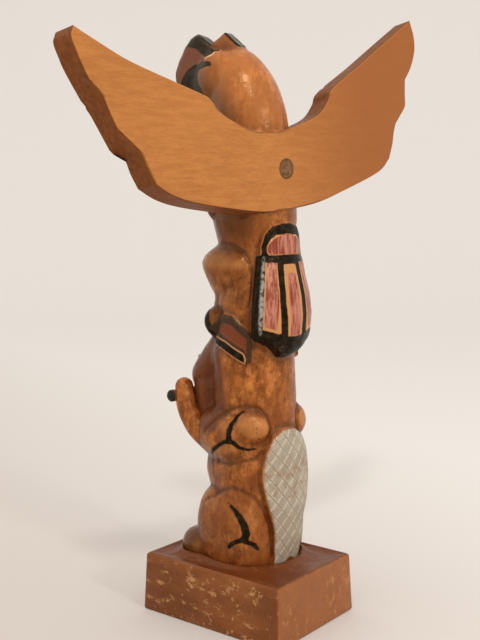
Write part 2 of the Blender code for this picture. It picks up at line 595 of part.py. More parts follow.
def seat_cutter():
    """Cutter for the board's seat in the neck: the board's own middle outline, larger by the clearance."""
    grow = FIT / BOARD_PART
    along = np.linspace(0.0, 1.0, 40)
    outline = []
    for side, top, foot in ((1, LEFT_TOP, LEFT_FOOT), (-1, RIGHT_TOP, RIGHT_FOOT)):
        upper = [q for q in smooth_run(top, along) if q[0] < SEAT_REACH]
        lower = [q for q in smooth_run(foot, along) if q[0] < SEAT_REACH]
        run = [(side * x, z + grow) for x, z in upper[:0:-1]] + [(0.0, upper[0][1] + grow)]
        low = [(side * x, z - FRONT_DROP - grow) for x, z in lower]
        outline.append((run, low))
    (left_up, left_low), (right_up, right_low) = outline
    loop = left_up + right_up[-2::-1] + right_low[:0:-1] + left_low
    front = BOARD_BACK - BOARD_THICKNESS - FIT
    back = BOARD_BACK + CUT_PAST
    vertices = [board_to_world(np.array(x), np.array(z), y) for y in (front, back) for x, z in loop]
    count = len(loop)
    faces = [tuple(range(count)), tuple(reversed(range(count, 2 * count)))]
    faces += [(i, count + i, count + (i + 1) % count, (i + 1) % count) for i in range(count)]
    thing = make_object("seat_cutter", vertices, faces, None)
    face_outwards(thing)
    return as_cutter(thing)


def as_cutter(thing):
    thing.hide_render = True
    thing.display_type = "WIRE"
    return thing


def cut(thing, other, operation="DIFFERENCE"):
    modifier = thing.modifiers.new(other.name, "BOOLEAN")
    modifier.operation = operation
    modifier.object = other
    modifier.solver = "EXACT"


def peg_ends(start, end):
    """World ends of a rod through the peg's place, between two distances behind the middle plane."""
    return [board_to_world(np.array(0.0), np.array(0.0), y) for y in (start, end)]


def build():
    clear_scene()
    pole_wood = wood("carved wood", (0.42, 0.19, 0.07), 0.42)
    board_wood = wood("board wood", (0.56, 0.28, 0.11), 0.55)
    peg_wood = wood("peg wood", (0.24, 0.15, 0.08), 0.6)

    pole = build_pole(pole_wood)
    board = build_board(board_wood)
    peg_front = BOARD_BACK - BOARD_THICKNESS - PEG_BITE
    peg = rod("wing_peg", *peg_ends(BOARD_BACK - PEG_RECESS, peg_front), PEG_DIAMETER / 2, PEG_SIDES,
              peg_wood)

    stick_middle = world_point(0.0, -STICK_FORWARD, STICK_LEVEL)
    half = STICK_LENGTH / 2
    turn = (math.cos(FIGURE_TURN), math.sin(FIGURE_TURN))
    ends = [(float(stick_middle[0] + side * half * turn[0]), float(stick_middle[1] + side * half * turn[1]),
             float(stick_middle[2])) for side in (-1, 1)]
    stick = as_cutter(rod("stick_guide", *ends, STICK_DIAMETER / 2, STICK_SIDES, None))
    hole = as_cutter(rod("peg_hole", *peg_ends(BOARD_BACK + CUT_PAST, peg_front - FIT),
                         PEG_DIAMETER / 2 + FIT, PEG_SIDES, None))
    across, behind, level = np.array(ARM).T
    for name, side in (("right_arm_guide", -1), ("left_arm_guide", 1)):
        line = np.stack(world_point(side * across, behind, level), -1)
        cut(pole, bent_rod(name, line, np.array(ARM_RADII) * PART, ARM_SIDES), "UNION")
    cut(pole, stick, "UNION")
    cut(pole, seat_cutter())
    cut(pole, hole)
    cut(board, hole)
    return pole, board, peg


build()
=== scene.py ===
# Visual model of a carved wooden totem pole: a winged bird above a seated beaver that holds a stick.
# The pole's skin is one surface measured outwards from a line inside the figures, the wing board is a
# filled outline with a carved front, and the painted areas are worked out as distances on those surfaces.
# Inside the figure everything is in parts: one part is a millimetre here, levels count from the foot.

import functools
import json
import math
from types import SimpleNamespace

import bpy
import numpy as np
from mathutils import Matrix, Vector

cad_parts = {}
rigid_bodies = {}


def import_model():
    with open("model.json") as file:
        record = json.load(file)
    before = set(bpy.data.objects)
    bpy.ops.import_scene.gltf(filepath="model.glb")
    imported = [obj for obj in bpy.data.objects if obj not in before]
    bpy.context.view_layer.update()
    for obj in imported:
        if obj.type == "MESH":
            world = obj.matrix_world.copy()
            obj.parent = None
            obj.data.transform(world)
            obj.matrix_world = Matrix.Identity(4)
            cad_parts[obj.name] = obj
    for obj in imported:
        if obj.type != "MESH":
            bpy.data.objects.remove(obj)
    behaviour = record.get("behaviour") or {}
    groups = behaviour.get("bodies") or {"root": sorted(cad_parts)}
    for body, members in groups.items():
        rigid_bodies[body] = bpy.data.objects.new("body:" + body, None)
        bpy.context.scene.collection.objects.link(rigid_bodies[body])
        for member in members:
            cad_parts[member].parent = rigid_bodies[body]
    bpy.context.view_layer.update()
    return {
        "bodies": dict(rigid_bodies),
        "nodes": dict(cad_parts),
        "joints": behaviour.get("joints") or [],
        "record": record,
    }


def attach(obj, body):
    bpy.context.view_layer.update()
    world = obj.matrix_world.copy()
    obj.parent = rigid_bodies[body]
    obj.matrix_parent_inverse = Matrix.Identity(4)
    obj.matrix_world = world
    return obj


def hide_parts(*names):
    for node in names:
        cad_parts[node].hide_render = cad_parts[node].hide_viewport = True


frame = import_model()

MM = 0.001
BLOCK_WIDTH, BLOCK_DEPTH, BLOCK_HEIGHT = 68.0, 89.0, 31.5
BLOCK_FLARE = 1.0
FIGURE_ACROSS = -5.0
FIGURE_TURN = math.radians(-8)
HEAD_TURN = math.radians(12)
BOARD_THICKNESS = 12.7
BOARD_BACK = 22.0
BOARD_ROLL = math.radians(8.1)
PEG_ACROSS, PEG_LEVEL = -0.8, 235.2
PEG_DIAMETER = 9.5
STICK_DIAMETER = 6.4
STICK_AHEAD, STICK_LEVEL = -37.0, 114.6
STICK_LENGTH = 54.6
# how finely the surfaces are made, and how the rays that find the pole's skin walk in
COLUMNS, CROWN_ROWS, SHAFT_ROWS = 312, 54, 236
HEAD_HEART = (0.0, -8.0, 280.0)
SPINE_LEVELS = (26, 240, 280)
SPINE_BACKS = (0.0, 0.0, -8.0)
ARM_ROWS, ARM_SIDES, ARM_BLUR = 40, 72, 4
BOARD_ALONG, BOARD_DOWN = 111, 76
RAY_START, RAY_STEP, RAY_STEPS, RAY_HALVINGS = 66.0, 1.2, 50, 8
ARC_RADIUS = 26.0
# ARC_RADIUS turns angles into distances round the pole, a step over STEEP between rows is smoothed, the last
# row lies FOOT_SINK inside the block, and FAR and NO_RECESS are distances that no paint or shadow reaches
STEEP, FOOT_SINK = 0.25, 0.6
FAR, NO_RECESS = 9.0, 99.0
# names of the distances kept on the skin; the sheen among them is a painted highlight
PAINTS = ("black", "red", "rim", "white", "earred", "earband", "beakred", "grey", "cut", "painted_sheen", "hood",
    "earline", "crest")

TRUNK_LEVELS = (26, 34, 50, 64, 84, 98, 114, 122, 139, 142, 150, 166, 182, 196, 209, 218, 236, 252, 266)
TRUNK_RADII = (23.0, 23.0, 22.6, 22.5, 22.5, 22.3, 22.0, 22.0, 21.2, 21.2, 21.3, 21.8, 20.5, 19.5, 21.8,
    21.6, 20.8, 19.0, 8.0)
TRUNK_BACKS = (1.0, 1.0, 1.5, 3.0, 3.5, 2.0, 0.5, 0.0, 0.0, 0.0, 2.5, 3.0, 2.5, 1.5, 0.5, 0.0, 0.0, 0.0,
    0.0)
BIRD_TAIL_LEVELS = (139, 141, 145, 152, 162, 172, 183, 192, 210)
BIRD_TAIL_RADII = (23.5, 25.2, 27.5, 29.6, 29.9, 28.8, 26.3, 24.4, 23.2)
PADDLE_LEVELS = (31, 38, 46, 60, 76, 90, 100, 104)
PADDLE_RADII = (24.6, 26.0, 27.6, 28.8, 29.3, 28.6, 27.0, 25.6)


def folded(p):
    """The place with its side made positive, for forms that are the same on both sides."""
    return np.abs(p[0]), p[1], p[2]


def nearest(*distances):
    """The smallest of several distances at each place."""
    return functools.reduce(np.minimum, distances)


def egg(p, middle, half, power=2.0, lean=0.0, up=None):
    """Closed form |x/a|^n + |y/b|^n + |z/c|^n = 1, leaning forwards; up is its own upper half height."""
    x, y, z = p[0] - middle[0], p[1] - middle[1], p[2] - middle[2]
    if lean:
        c, s = math.cos(math.radians(lean)), math.sin(math.radians(lean))
        y, z = y * c + z * s, z * c - y * s
    tall = half[2] if up is None else np.where(z > 0, up, half[2])
    total = np.abs(x / half[0]) ** power + np.abs(y / half[1]) ** power + np.abs(z / tall) ** power
    return (total ** (1 / power) - 1.0) * min(half)


def limb(p, points, radii):
    """Round rod along a broken line: distance to the line less a radius that changes along it."""
    out = np.inf
    for a, b, ra, rb in zip(points, points[1:], radii, radii[1:]):
        run = [q - o for o, q in zip(a, b)]
        off = [p[i] - a[i] for i in range(3)]
        share = np.clip(sum(o * r for o, r in zip(off, run)) / sum(r * r for r in run), 0.0, 1.0)
        gap = np.sqrt(sum((o - share * r) ** 2 for o, r in zip(off, run)))
        out = np.minimum(out, gap - (ra + (rb - ra) * share))
    return out


def join(a, b, soft):
    """Union of two forms; their meeting line is rounded over about the distance soft."""
    h = np.maximum(soft - np.abs(a - b), 0.0) / soft
    return np.minimum(a, b) - h * h * soft * 0.25


def outline_distance(x, y, corners):
    """Distance outside a closed outline, negative inside it."""
    x, y = np.broadcast_arrays(x, y)
    square = np.full(x.shape, np.inf)
    inside = np.zeros(x.shape, bool)
    for (xa, ya), (xb, yb) in zip(corners, tuple(corners[1:]) + tuple(corners[:1])):
        dx, dy = xb - xa, yb - ya
        share = np.clip(((x - xa) * dx + (y - ya) * dy) / (dx * dx + dy * dy), 0.0, 1.0)
        square = np.minimum(square, (x - xa - share * dx) ** 2 + (y - ya - share * dy) ** 2)
        if dy != 0.0:
            inside ^= ((ya <= y) != (yb <= y)) & (x < xa + (y - ya) * dx / dy)
    gap = np.sqrt(square)
    return np.where(inside, -gap, gap)


def stroke(x, y, points, halves):
    """Distance outside a brush stroke: a broken line whose half width changes along it."""
    out = np.inf
    for (xa, ya), (xb, yb), ha, hb in zip(points, points[1:], halves, halves[1:]):
        dx, dy = xb - xa, yb - ya
        share = np.clip(((x - xa) * dx + (y - ya) * dy) / (dx * dx + dy * dy), 0.0, 1.0)
        out = np.minimum(out, np.hypot(x - xa - share * dx, y - ya - share * dy) - ha - (hb - ha) * share)
    return out


def slab(p, corners, half, rounding):
    """Slab standing in the middle plane with the given outline, half thickness and rounded edges."""
    face = outline_distance(p[1], p[2], corners) + rounding
    side = np.abs(p[0]) - half + rounding
    return np.minimum(np.maximum(face, side), 0.0) \
        + np.hypot(np.maximum(face, 0.0), np.maximum(side, 0.0)) - rounding


def trunk(p):
    """Round column whose radius and middle follow the tables of levels."""
    radius = np.interp(p[2], TRUNK_LEVELS, TRUNK_RADII)
    back = np.interp(p[2], TRUNK_LEVELS, TRUNK_BACKS)
    return np.maximum(np.hypot(p[0], p[1] - back) - radius, p[2] - TRUNK_LEVELS[-1])


BEAK = ((-8, 288), (-20.5, 294.0), (-25.5, 299.4), (-29.4, 303.8), (-33.6, 306.4), (-37.8, 304.6),
    (-41.8, 299.6), (-45.0, 293), (-46.2, 287), (-45.4, 282), (-43.8, 276), (-43.4, 269), (-41.6, 266.4),
    (-39.0, 269.6), (-36, 272.5), (-26, 268), (-8, 262))
BEAK_HALVES = ((284, 306), (11.0, 6.2))
CREST = ((-5, 294), (-8.0, 298.8), (-16.2, 305.6), (-25.3, 300.0), (-20, 290), (-6, 288))
ARM = ((13.5, -14.5, 89), (17.2, -25.6, 97.5), (19.4, -31.7, 107), (19.6, -33.4, 114.0),
    (19.3, -34.2, 119.4))
ARM_RADII = (6.6, 6.4, 5.5, 5.3, 4.9)
CREST_HALF, CREST_MIDDLE = 4.6, 0.4
# eggs: middle, half sizes, power, lean in degrees, upper half height; limbs: points and radii, on one side
BIRD_SKULL = ((0, -3.5, 262), (18.5, 19.5, 36.8), 2.0, 17)
BIRD_CHEEK = ((6.5, -17, 281), (9.5, 14, 15))
BIRD_CHEST = ((0, -7, 224), (20, 19, 20))
BIRD_BELLY = ((0, -4, 190), (14, 17, 24))
BIRD_THIGH = ((9.2, -3.4, 184.2), (16.2, 20.2, 25.5), 2.12, 0.0, 13.6)
BIRD_ANKLE = (((12, -7, 168), (11, -10, 158)), (7.0, 7.0))
BIRD_SHOULDER = ((15.5, -10.5, 217), (6.4, 6.4, 8.6))
TOE_SPREADS = (3.2, 7.8, 12.4)
BEAVER_SKULL = ((0, -1, 138), (21.6, 21.5, 17))
BEAVER_CHEEK = (((6, -14, 142), (6.5, -27.0, 125.5)), (10.0, 10.4))
BEAVER_NOSE = ((0, -38, 133), (5.4, 4.0, 3.6))
BEAVER_KNOB = ((19.0, -9.0, 157.2), (6.0, 6.0, 7.4))
BEAVER_TOOTH = (((2.3, -36.0, 124), (2.3, -36.4, 119)), (2.3, 2.2))
BEAVER_ARM = ((11, -3, 98), (15.6, 20.5, 15.0), 2.5)
BEAVER_BALL = ((12.4, 11.4, 103.6), (10.8, 10.8, 10.4))
BEAVER_ELBOW = (((10.0, -8, 94), (13.5, -14.5, 90)), (9.0, 7.0))
BEAVER_CHEST = ((0, -21, 103), (16, 16.6, 20), 2.4)
BEAVER_BREAST = (((6.5, -24, 120), (6, -22, 98)), (11, 11))
BEAVER_BELLY = ((0, -9.5, 78), (19, 18.5, 22))
BEAVER_HAUNCH = ((9, -1.5, 45), (18.5, 24.0, 28.5), 2.5, 0.0, 27.4)
BEAVER_FOOT = ((17, -20, 34.8), (11, 14, 9.8))
FAR_HAUNCH_FORWARD = 2.2


def turned(p):
    """The point in the head's own directions."""
    c, s = math.cos(HEAD_TURN), math.sin(HEAD_TURN)
    return (p[0] * c + p[1] * s, p[1] * c - p[0] * s, p[2])


def bird_head(p):
    """Skull that leans forwards, cheeks, beak and crest, in the head's own directions."""
    p = turned(p)
    thin = np.interp(p[2], *BEAK_HALVES) - 0.10 * np.maximum(-25.0 - p[1], 0.0)
    face = join(egg(folded(p), *BIRD_CHEEK), slab(p, BEAK, thin, 3.6), 2.0)
    return join(join(egg(p, *BIRD_SKULL), face, 1.0), slab(p, CREST, 3.7, 0.9), 0.8)


def bird_body(p):
    """Chest, belly and shoulders, and thighs that narrow down to ankles with three toes each."""
    side = folded(p)
    narrow = 1.0 - 0.011 * np.maximum(187.0 - p[2], 0.0)
    thigh = egg((side[0] / narrow, side[1] / narrow, side[2]), *BIRD_THIGH)
    form = join(join(egg(p, *BIRD_CHEST), egg(p, *BIRD_BELLY), 4.0), thigh, 0.6)
    form = join(join(form, limb(side, *BIRD_ANKLE), 2.0), egg(side, *BIRD_SHOULDER), 1.0)
    for spread in TOE_SPREADS:
        toe = limb(side, ((spread, -10, 160.5), (spread * 0.92, -21 + spread * 0.35, 156.5)), (4.0, 3.8))
        form = join(form, toe, 0.6)
    return form


def beaver_head(p):
    """Skull, cheeks, nose, ear knobs and the pair of teeth."""
    side = folded(p)
    form = join(join(egg(p, *BEAVER_SKULL), limb(side, *BEAVER_CHEEK), 2.0), egg(p, *BEAVER_NOSE), 1.0)
    return join(join(form, egg(side, *BEAVER_KNOB), 0.5), limb(side, *BEAVER_TOOTH), 0.4)


def beaver_arms(p):
    """Upper arms with a ball behind and an elbow in front, and the chest between them."""
    side = folded(p)
    chest = join(egg(p, *BEAVER_CHEST), limb(side, *BEAVER_BREAST), 2.0)
    arm = join(egg(side, *BEAVER_ARM), egg(side, *BEAVER_BALL), 0.4)
    return join(join(arm, limb(side, *BEAVER_ELBOW), 0.9), chest, 1.5)


def beaver_legs(p):
    """Haunches, the one on the far side a little further forward, and feet."""
    side = folded(p)
    forward = FAR_HAUNCH_FORWARD * np.where(p[0] < 0, 1.0, 0.0)
    haunch = egg((side[0], side[1] + forward, side[2]), *BEAVER_HAUNCH)
    return join(haunch, egg(side, *BEAVER_FOOT), 0.7)


def carving(p):
    """The whole carved figure without the relief of its back."""
    form = join(join(trunk(p), egg(p, *BEAVER_BELLY), 6.0), bird_head(p), 2.0)
    for part, soft in ((bird_body, 0.8), (beaver_head, 0.8), (beaver_arms, 0.5), (beaver_legs, 0.5)):
        form = join(form, part(p), soft)
    return form


# drawings on the skin: outlines and strokes as degrees from the back's middle line and level
def arc(angle):
    """Distance round the pole from the back's middle line, for an angle in degrees."""
    return np.abs(angle) * (math.pi / 180 * ARC_RADIUS)


def spot(points):
    """Turns points given as degrees from the back and level into arc and level."""
    return tuple((a * math.pi / 180 * ARC_RADIUS, z) for a, z in points)


TAIL = spot(((-14, 208.6), (6, 208.6), (23.7, 206.9), (33.4, 202.4), (37.4, 196.7), (37.8, 191.8),
    (40.6, 191.3), (42.6, 182.5), (45.2, 170.2), (46.6, 157.8), (46.4, 150.6), (44, 149.4), (37.6, 148.4),
    (27, 146.2), (19, 143.4), (13, 140.6), (-14, 139.6)))
ARCH_HOLE = spot(((-14, 203.4), (17.2, 202.2), (25.6, 199.8), (29.8, 196.6), (30.2, 193.6), (27.5, 192.0),
    (-14, 192.4)))
ARCH_RED = spot(((-14, 202.2), (10.2, 201.2), (20.8, 199.2), (26.6, 196.6), (27.2, 194.4), (24.4, 193.2),
    (-14, 193.6)))
SIDE_FEATHER = spot(((17.8, 188.3), (32.5, 188.7), (34.5, 176.3), (36.1, 164), (36.8, 155.2), (26.8, 153.8),
    (17.5, 152.5), (18.4, 170)))
SIDE_RED = spot(((20.8, 188), (28.6, 188), (32.2, 170.2), (33.4, 157.4), (24.3, 155.9), (21.4, 167.6),
    (21.8, 182.4)))
MID_FEATHER = spot(((-14, 188), (9.6, 187.4), (11.4, 169.8), (9.6, 151.4), (-14, 150.6)))
MID_RED = spot(((-14, 184), (4.2, 182), (5.6, 169.6), (4.6, 152.6), (-14, 152.2)))
PADDLE = spot(((-14, 103.4), (10, 102.6), (23.4, 98.6), (32.2, 90), (35.7, 82), (35.8, 77), (33.5, 70.6),
    (29, 62.5), (24.6, 56), (22, 49), (21.2, 42), (20.3, 35), (20, 30), (-14, 30)))
EAR_BAND = spot(((110, 152.4), (97, 159.2), (89, 161.8), (73.7, 161.4), (51.3, 153.6), (47.7, 151),
    (47.9, 138), (55, 136.8), (85, 142.6), (118, 147)))
EAR_RED = spot(((91.4, 157.4), (73.7, 156.2), (53.6, 149.8), (54.6, 141.0), (57.4, 144.2), (77.3, 148.4),
    (98.9, 152.4)))
EAR_BLACK = spot(((145, 153.0), (118, 150.4), (85, 147.2), (60, 141.6), (57.6, 139.4), (58.4, 137.6),
    (85, 142.9), (118, 146.6), (145, 149.4)))
# painted highlight: a pale sheen strip down the edge of the tail's side feather, with its half widths
PAINTED_SHEEN = (spot(((33.8, 190.8), (35.4, 183), (36.6, 175), (37.8, 166), (38.4, 159), (39.0, 153))),
    (0.5, 0.9, 1.0, 1.0, 0.9, 0.5))
ELBOW_MARK = (spot(((56.5, 112.2), (61, 111.7), (66.8, 109.6), (72.6, 105.4), (75.0, 100.6), (74.0, 96.8))),
    (0.1, 0.5, 0.9, 1.3, 1.5, 1.6))
ELBOW_LEFT = (spot(((74.0, 96.9), (82, 96.0), (93.4, 92.8), (112, 86.6))), (1.3, 1.0, 1.0, 0.7))
ELBOW_RIGHT = (spot(((74.0, 97.0), (68.5, 96.2), (62.1, 94.0), (50.6, 92.6), (42.0, 93.4))),
    (1.3, 1.2, 0.9, 0.7, 0.3))
HAUNCH_MARK = (spot(((82.0, 64.4), (74.5, 62.8), (67.0, 60.8), (60.5, 57.8), (55.0, 53.6), (52.8, 49.4),
    (55.2, 46.2))), (0.1, 0.6, 1.2, 1.6, 1.9, 1.9, 1.8))
HAUNCH_LEFT = (spot(((56, 46.2), (62, 45.4), (68.5, 43.8), (72.5, 41.4))), (1.4, 1.2, 1.2, 0.9))
HAUNCH_RIGHT = (spot(((56, 46.0), (51, 45.0), (44.5, 43.8), (40.5, 41.4))), (1.4, 1.2, 1.2, 0.8))

THIGH_CUT = (spot(((104, 197.4), (90, 197.6), (75.8, 196.6), (60, 193.4), (51, 188.6), (47.4, 182.2),
    (48.0, 172), (52, 166))), (0.1, 0.5, 0.6, 0.6, 0.6, 0.5, 0.4, 0.2))
PAD_CUT = (spot(((112, 99.4), (91.4, 109.0), (79.4, 112.0), (70, 114.0), (56.8, 115.2), (40, 114.2),
    (28, 109.4), (23.4, 103.4), (26.6, 98.4))), (0.4, 0.5, 0.5, 0.5, 0.5, 0.5, 0.5, 0.4, 0.2))
PAD_FOOT = (spot(((104, 83.6), (79.5, 83.8), (56.8, 86.2), (42.1, 88.6), (35.4, 92))),
    (0.5, 0.7, 0.7, 0.5, 0.2))
HAUNCH_CUT = (spot(((120, 61), (110.9, 64.0), (89.2, 69.6), (74.6, 71.4), (59.2, 71.0), (44.0, 67.6),
    (32.4, 61.6), (25.4, 54.0), (22.6, 47), (21.6, 36))),
    (0.3, 0.6, 0.7, 0.7, 0.7, 0.7, 0.6, 0.4, 0.3, 0.3))
KNOB_BLACK = spot(((150, 166), (120, 165), (110, 161.5), (106, 157), (104.5, 152.4), (103, 149.5),
    (118, 147.5), (150, 147)))
FAR_PADDLE_SQUEEZE = ((30, 60, 84), (0.70, 0.86, 1.0))
CUT_DEPTH, CUT_HALF = 0.9, 0.9
# the side of the beaver's face between cheek and arm, whose recess is darkened as painted shade
CHEEK = spot(((112, 150), (105, 143), (100, 134), (95, 120), (91, 108), (98, 101), (180, 100), (180, 150)))

# drawings on the bird's head: places ahead and up in its own directions
RIDGE = ((-19.0, 294), (-19.6, 298), (-24, 303), (-34, 309), (-48, 305), (-54, 285), (-50, 262),
    (-40.2, 262), (-41.0, 270), (-42.6, 279), (-43.6, 287), (-43.0, 292), (-41.0, 297.2), (-38.4, 299.6),
    (-32, 298.0), (-27.3, 294.6), (-23.4, 292.8))
JAW = ((-16.4, 287.6), (-17.6, 289.4), (-20.5, 290.4), (-31.8, 289.6), (-36.0, 287.2), (-39.0, 283.4),
    (-40.4, 279), (-38.0, 266), (-30, 266), (-22, 271), (-22.6, 275), (-26.6, 281.4), (-27.8, 284.4),
    (-25.0, 286.2), (-20.5, 287.0))


def raised(radius, edge, height, soft=1.0):
    """Lifts a radius to the given height inside an edge, over a short slope."""
    return radius + np.maximum(height - radius, 0.0) * np.clip(0.5 - edge / soft, 0.0, 1.0)


def skin_relief(radius, angle, level):
    """The shaft's radius with tails, ear band and knife cuts, and the distances to its painted outlines."""
    s = arc(angle)

    def outside(corners, squeeze=1.0):
        return outline_distance(s * squeeze, level, corners)

    def strokes(*lines):
        return nearest(*[stroke(s, level, *line) for line in lines])

    tail, band, face = outside(TAIL), outside(EAR_BAND), outside(EAR_RED)
    paddle = outside(PADDLE, np.where(angle < 0, np.interp(level, *FAR_PADDLE_SQUEEZE), 1.0))
    plates = nearest(outside(ARCH_HOLE), outside(SIDE_FEATHER), outside(MID_FEATHER))
    marks = strokes(ELBOW_MARK, ELBOW_LEFT, ELBOW_RIGHT, HAUNCH_MARK, HAUNCH_LEFT, HAUNCH_RIGHT)
    cuts = strokes(THIGH_CUT, PAD_CUT, PAD_FOOT, HAUNCH_CUT)
    radius = raised(radius, tail, np.interp(level, BIRD_TAIL_LEVELS, BIRD_TAIL_RADII))
    radius = raised(radius, paddle, np.interp(level, PADDLE_LEVELS, PADDLE_RADII), 1.4)
    for edge, height, soft in ((band, 2.0, 1.0), (plates, 0.35, 0.7), (marks, -0.7, 1.2), (face, -0.8, 0.8)):
        radius = radius + height * np.clip(0.5 - edge / soft, 0.0, 1.0)
    radius = radius - CUT_DEPTH * np.exp(-(np.maximum(cuts + 0.5, 0.0) / CUT_HALF) ** 2)

    tail_black = np.maximum(tail + np.clip((level - 192.0) * 2.0, -0.9, 0.6), -plates)
    ear_line = outside(EAR_BLACK)
    red = nearest(outside(ARCH_RED), outside(SIDE_RED), outside(MID_RED)) - 0.75
    # the cut and cheek distances also place painted shade in the knife cuts and in the recess by the arms
    paint = {"cut": cuts, "cheek": outside(CHEEK), "red": red, "earred": face, "earband": band,
             "black": nearest(tail_black, marks, ear_line, outside(KNOB_BLACK)),
             "rim": np.maximum(plates, -red),
             "earline": np.where((level > 130) & (level < 156), ear_line, FAR),
             "painted_sheen": strokes(PAINTED_SHEEN),
             "white": np.maximum(paddle + 0.5, 2.6 - np.hypot((angle + 5.0) * 0.35, level - 31.5))}
    return radius, paint


def carved_radius(origin, heading, rise):
    """Distance along each ray to the outermost surface: walk inwards until inside, then halve the step."""
    away = (np.sin(heading) * np.cos(rise), np.cos(heading) * np.cos(rise), np.sin(rise))

    def inside(reach):
        return carving([origin[i] + away[i] * reach for i in range(3)]) < 0.0

    reach = np.full(np.broadcast(heading, rise).shape, RAY_START)
    found = np.zeros(reach.shape, bool)
    for _ in range(RAY_STEPS):
        found |= inside(reach)
        reach = np.where(found, reach, reach - RAY_STEP)
    low, high = reach, reach + RAY_STEP
    for _ in range(RAY_HALVINGS):
        mid = (low + high) / 2.0
        within = inside(mid)
        low, high = np.where(within, mid, low), np.where(within, high, mid)
    return low


def ripple(a, b, c, seed):
    """Smooth uneven surface: a sum of sine waves in three directions with set phases."""
    rng = np.random.default_rng(seed)
    out = 0.0
    for k in range(14):
        d = rng.normal(size=3)
        d /= np.linalg.norm(d)
        phase = (a * d[0] + b * d[1] + c * d[2]) * (0.5 + 0.11 * k) + rng.uniform(0, 6.28)
        out = out + np.sin(phase) / (1 + 0.25 * k)
    return out / 4.0


def to_world(x, y, level):
    """Figure's parts to metres in the block's frame."""
    c, s = math.cos(FIGURE_TURN), math.sin(FIGURE_TURN)
    place = ((FIGURE_ACROSS + x * c - y * s) * MM, (x * s + y * c) * MM, level * MM)
    return np.stack(np.broadcast_arrays(*place), -1)


def headings():
    """World headings of the columns, with one column on each corner of the block."""
    mx, my = FIGURE_ACROSS, 0.0
    corners = [math.atan2(sx * BLOCK_WIDTH / 2 - mx, sy * BLOCK_DEPTH / 2 - my)
               for sx, sy in ((1, 1), (1, -1), (-1, -1), (-1, 1))]
    corners = [c + 2 * math.pi if c < corners[0] - 1e-9 else c for c in corners]
    corners.append(corners[0] + 2 * math.pi)
    steps = []
    for start, end in zip(corners, corners[1:]):
        count = round(COLUMNS * (end - start) / (2 * math.pi))
        steps.append(start + (end - start) * np.arange(count) / count)
    return np.concatenate(steps)


def block_reach(heading, inset):
    """Distance from the pole's middle to the block's side along each heading."""
    reach = np.full(heading.shape, np.inf)
    for along, half, start in ((np.sin(heading), BLOCK_WIDTH / 2, FIGURE_ACROSS),
                               (np.cos(heading), BLOCK_DEPTH / 2, 0.0)):
        safe = np.where(np.abs(along) < 1e-9, 1e-9, along)
        reach = np.minimum(reach, ((half - inset) * np.sign(safe) - start) / safe)
    return reach


def smooth_mesh(name, points, faces, values):
    """Object with smooth faces and, under each attribute's name, one number for each point."""
    mesh = bpy.data.meshes.new(name)
    mesh.from_pydata(points.tolist(), [], faces)
    mesh.update()
    for key, data in values.items():
        mesh.attributes.new(key, "FLOAT", "POINT").data.foreach_set("value", data.astype(np.float32))
    mesh.polygons.foreach_set("use_smooth", np.ones(len(mesh.polygons), bool))
    thing = bpy.data.objects.new(name, mesh)
    bpy.context.collection.objects.link(thing)
    return thing


def skin_mesh(name, rings, values, closed_top, closed_foot):
    """Mesh over rings of points on the same columns, with a point closing each end, and its attributes."""
    rows, columns = rings.shape[:2]
    points = np.concatenate([rings.reshape(-1, 3), [closed_top, closed_foot]])
    r, c = np.meshgrid(np.arange(rows - 1) * columns, np.arange(columns), indexing="ij")
    d = (c + 1) % columns
    quads = np.stack([r + c, r + d, r + columns + d, r + columns + c], -1).reshape(-1, 4)
    c, d = c[0], d[0]
    top = np.stack([np.full(columns, rows * columns), d, c], -1)
    last = (rows - 1) * columns
    foot = np.stack([np.full(columns, rows * columns + 1), last + c, last + d], -1)
    values = {key: np.append(np.broadcast_to(grid, (rows, columns)), [grid.flat[0], grid.flat[-1]])
              for key, grid in values.items()}
    return smooth_mesh(name, points, quads.tolist() + top.tolist() + foot.tolist(), values)


def blurred(grid, rows, cols):
    """Mean of a grid over a window that wraps round the columns, done with running sums."""
    g = np.concatenate([grid[:, -cols:], grid, grid[:, :cols]], 1)
    g = np.cumsum(np.pad(g, ((0, 0), (1, 0))), 1)
    g = (g[:, 2 * cols + 1:] - g[:, :-2 * cols - 1]) / (2 * cols + 1)
    g = np.pad(g, ((rows, rows), (0, 0)), mode="edge")
    g = np.cumsum(np.pad(g, ((1, 0), (0, 0))), 0)
    return (g[2 * rows + 1:] - g[:-2 * rows - 1]) / (2 * rows + 1)


BLOCK_TOP_INSET = 1.6
BLOCK_TOP = ((0.03, 0.4), (0.08, 1.1), (0.14, 1.3), (0.22, 0.7), (0.32, -0.3), (0.45, -0.9), (0.6, -1.0),
    (0.75, -0.8), (0.88, -0.4), (0.97, -0.1))
BLOCK_EDGE = ((1.5, 0.0), (0.7, -0.25), (0.2, -0.8), (0.0, -1.6))
BLOCK_FOOT = ((0.0, 1.0), (0.3, 0.3), (1.0, 0.0), (6.0, 0.0))
BLOCK_SIDE_ROWS = 9
# darkness by level, partly darker varnish and partly painted shade, the painted shade strongest on the neck
# under the board
STAIN_AND_SHADE_LEVELS = (30, 52, 66, 74, 84, 90, 112, 124, 150, 166, 186, 198, 204, 216, 236, 262)
STAIN_AND_SHADE_SHARES = (0.42, 0.40, 0.30, 0.22, 0.20, 0.24, 0.24, 0.10, 0.12, 0.36, 0.40, 0.50, 0.84, 0.86, 0.60,
    0.0)


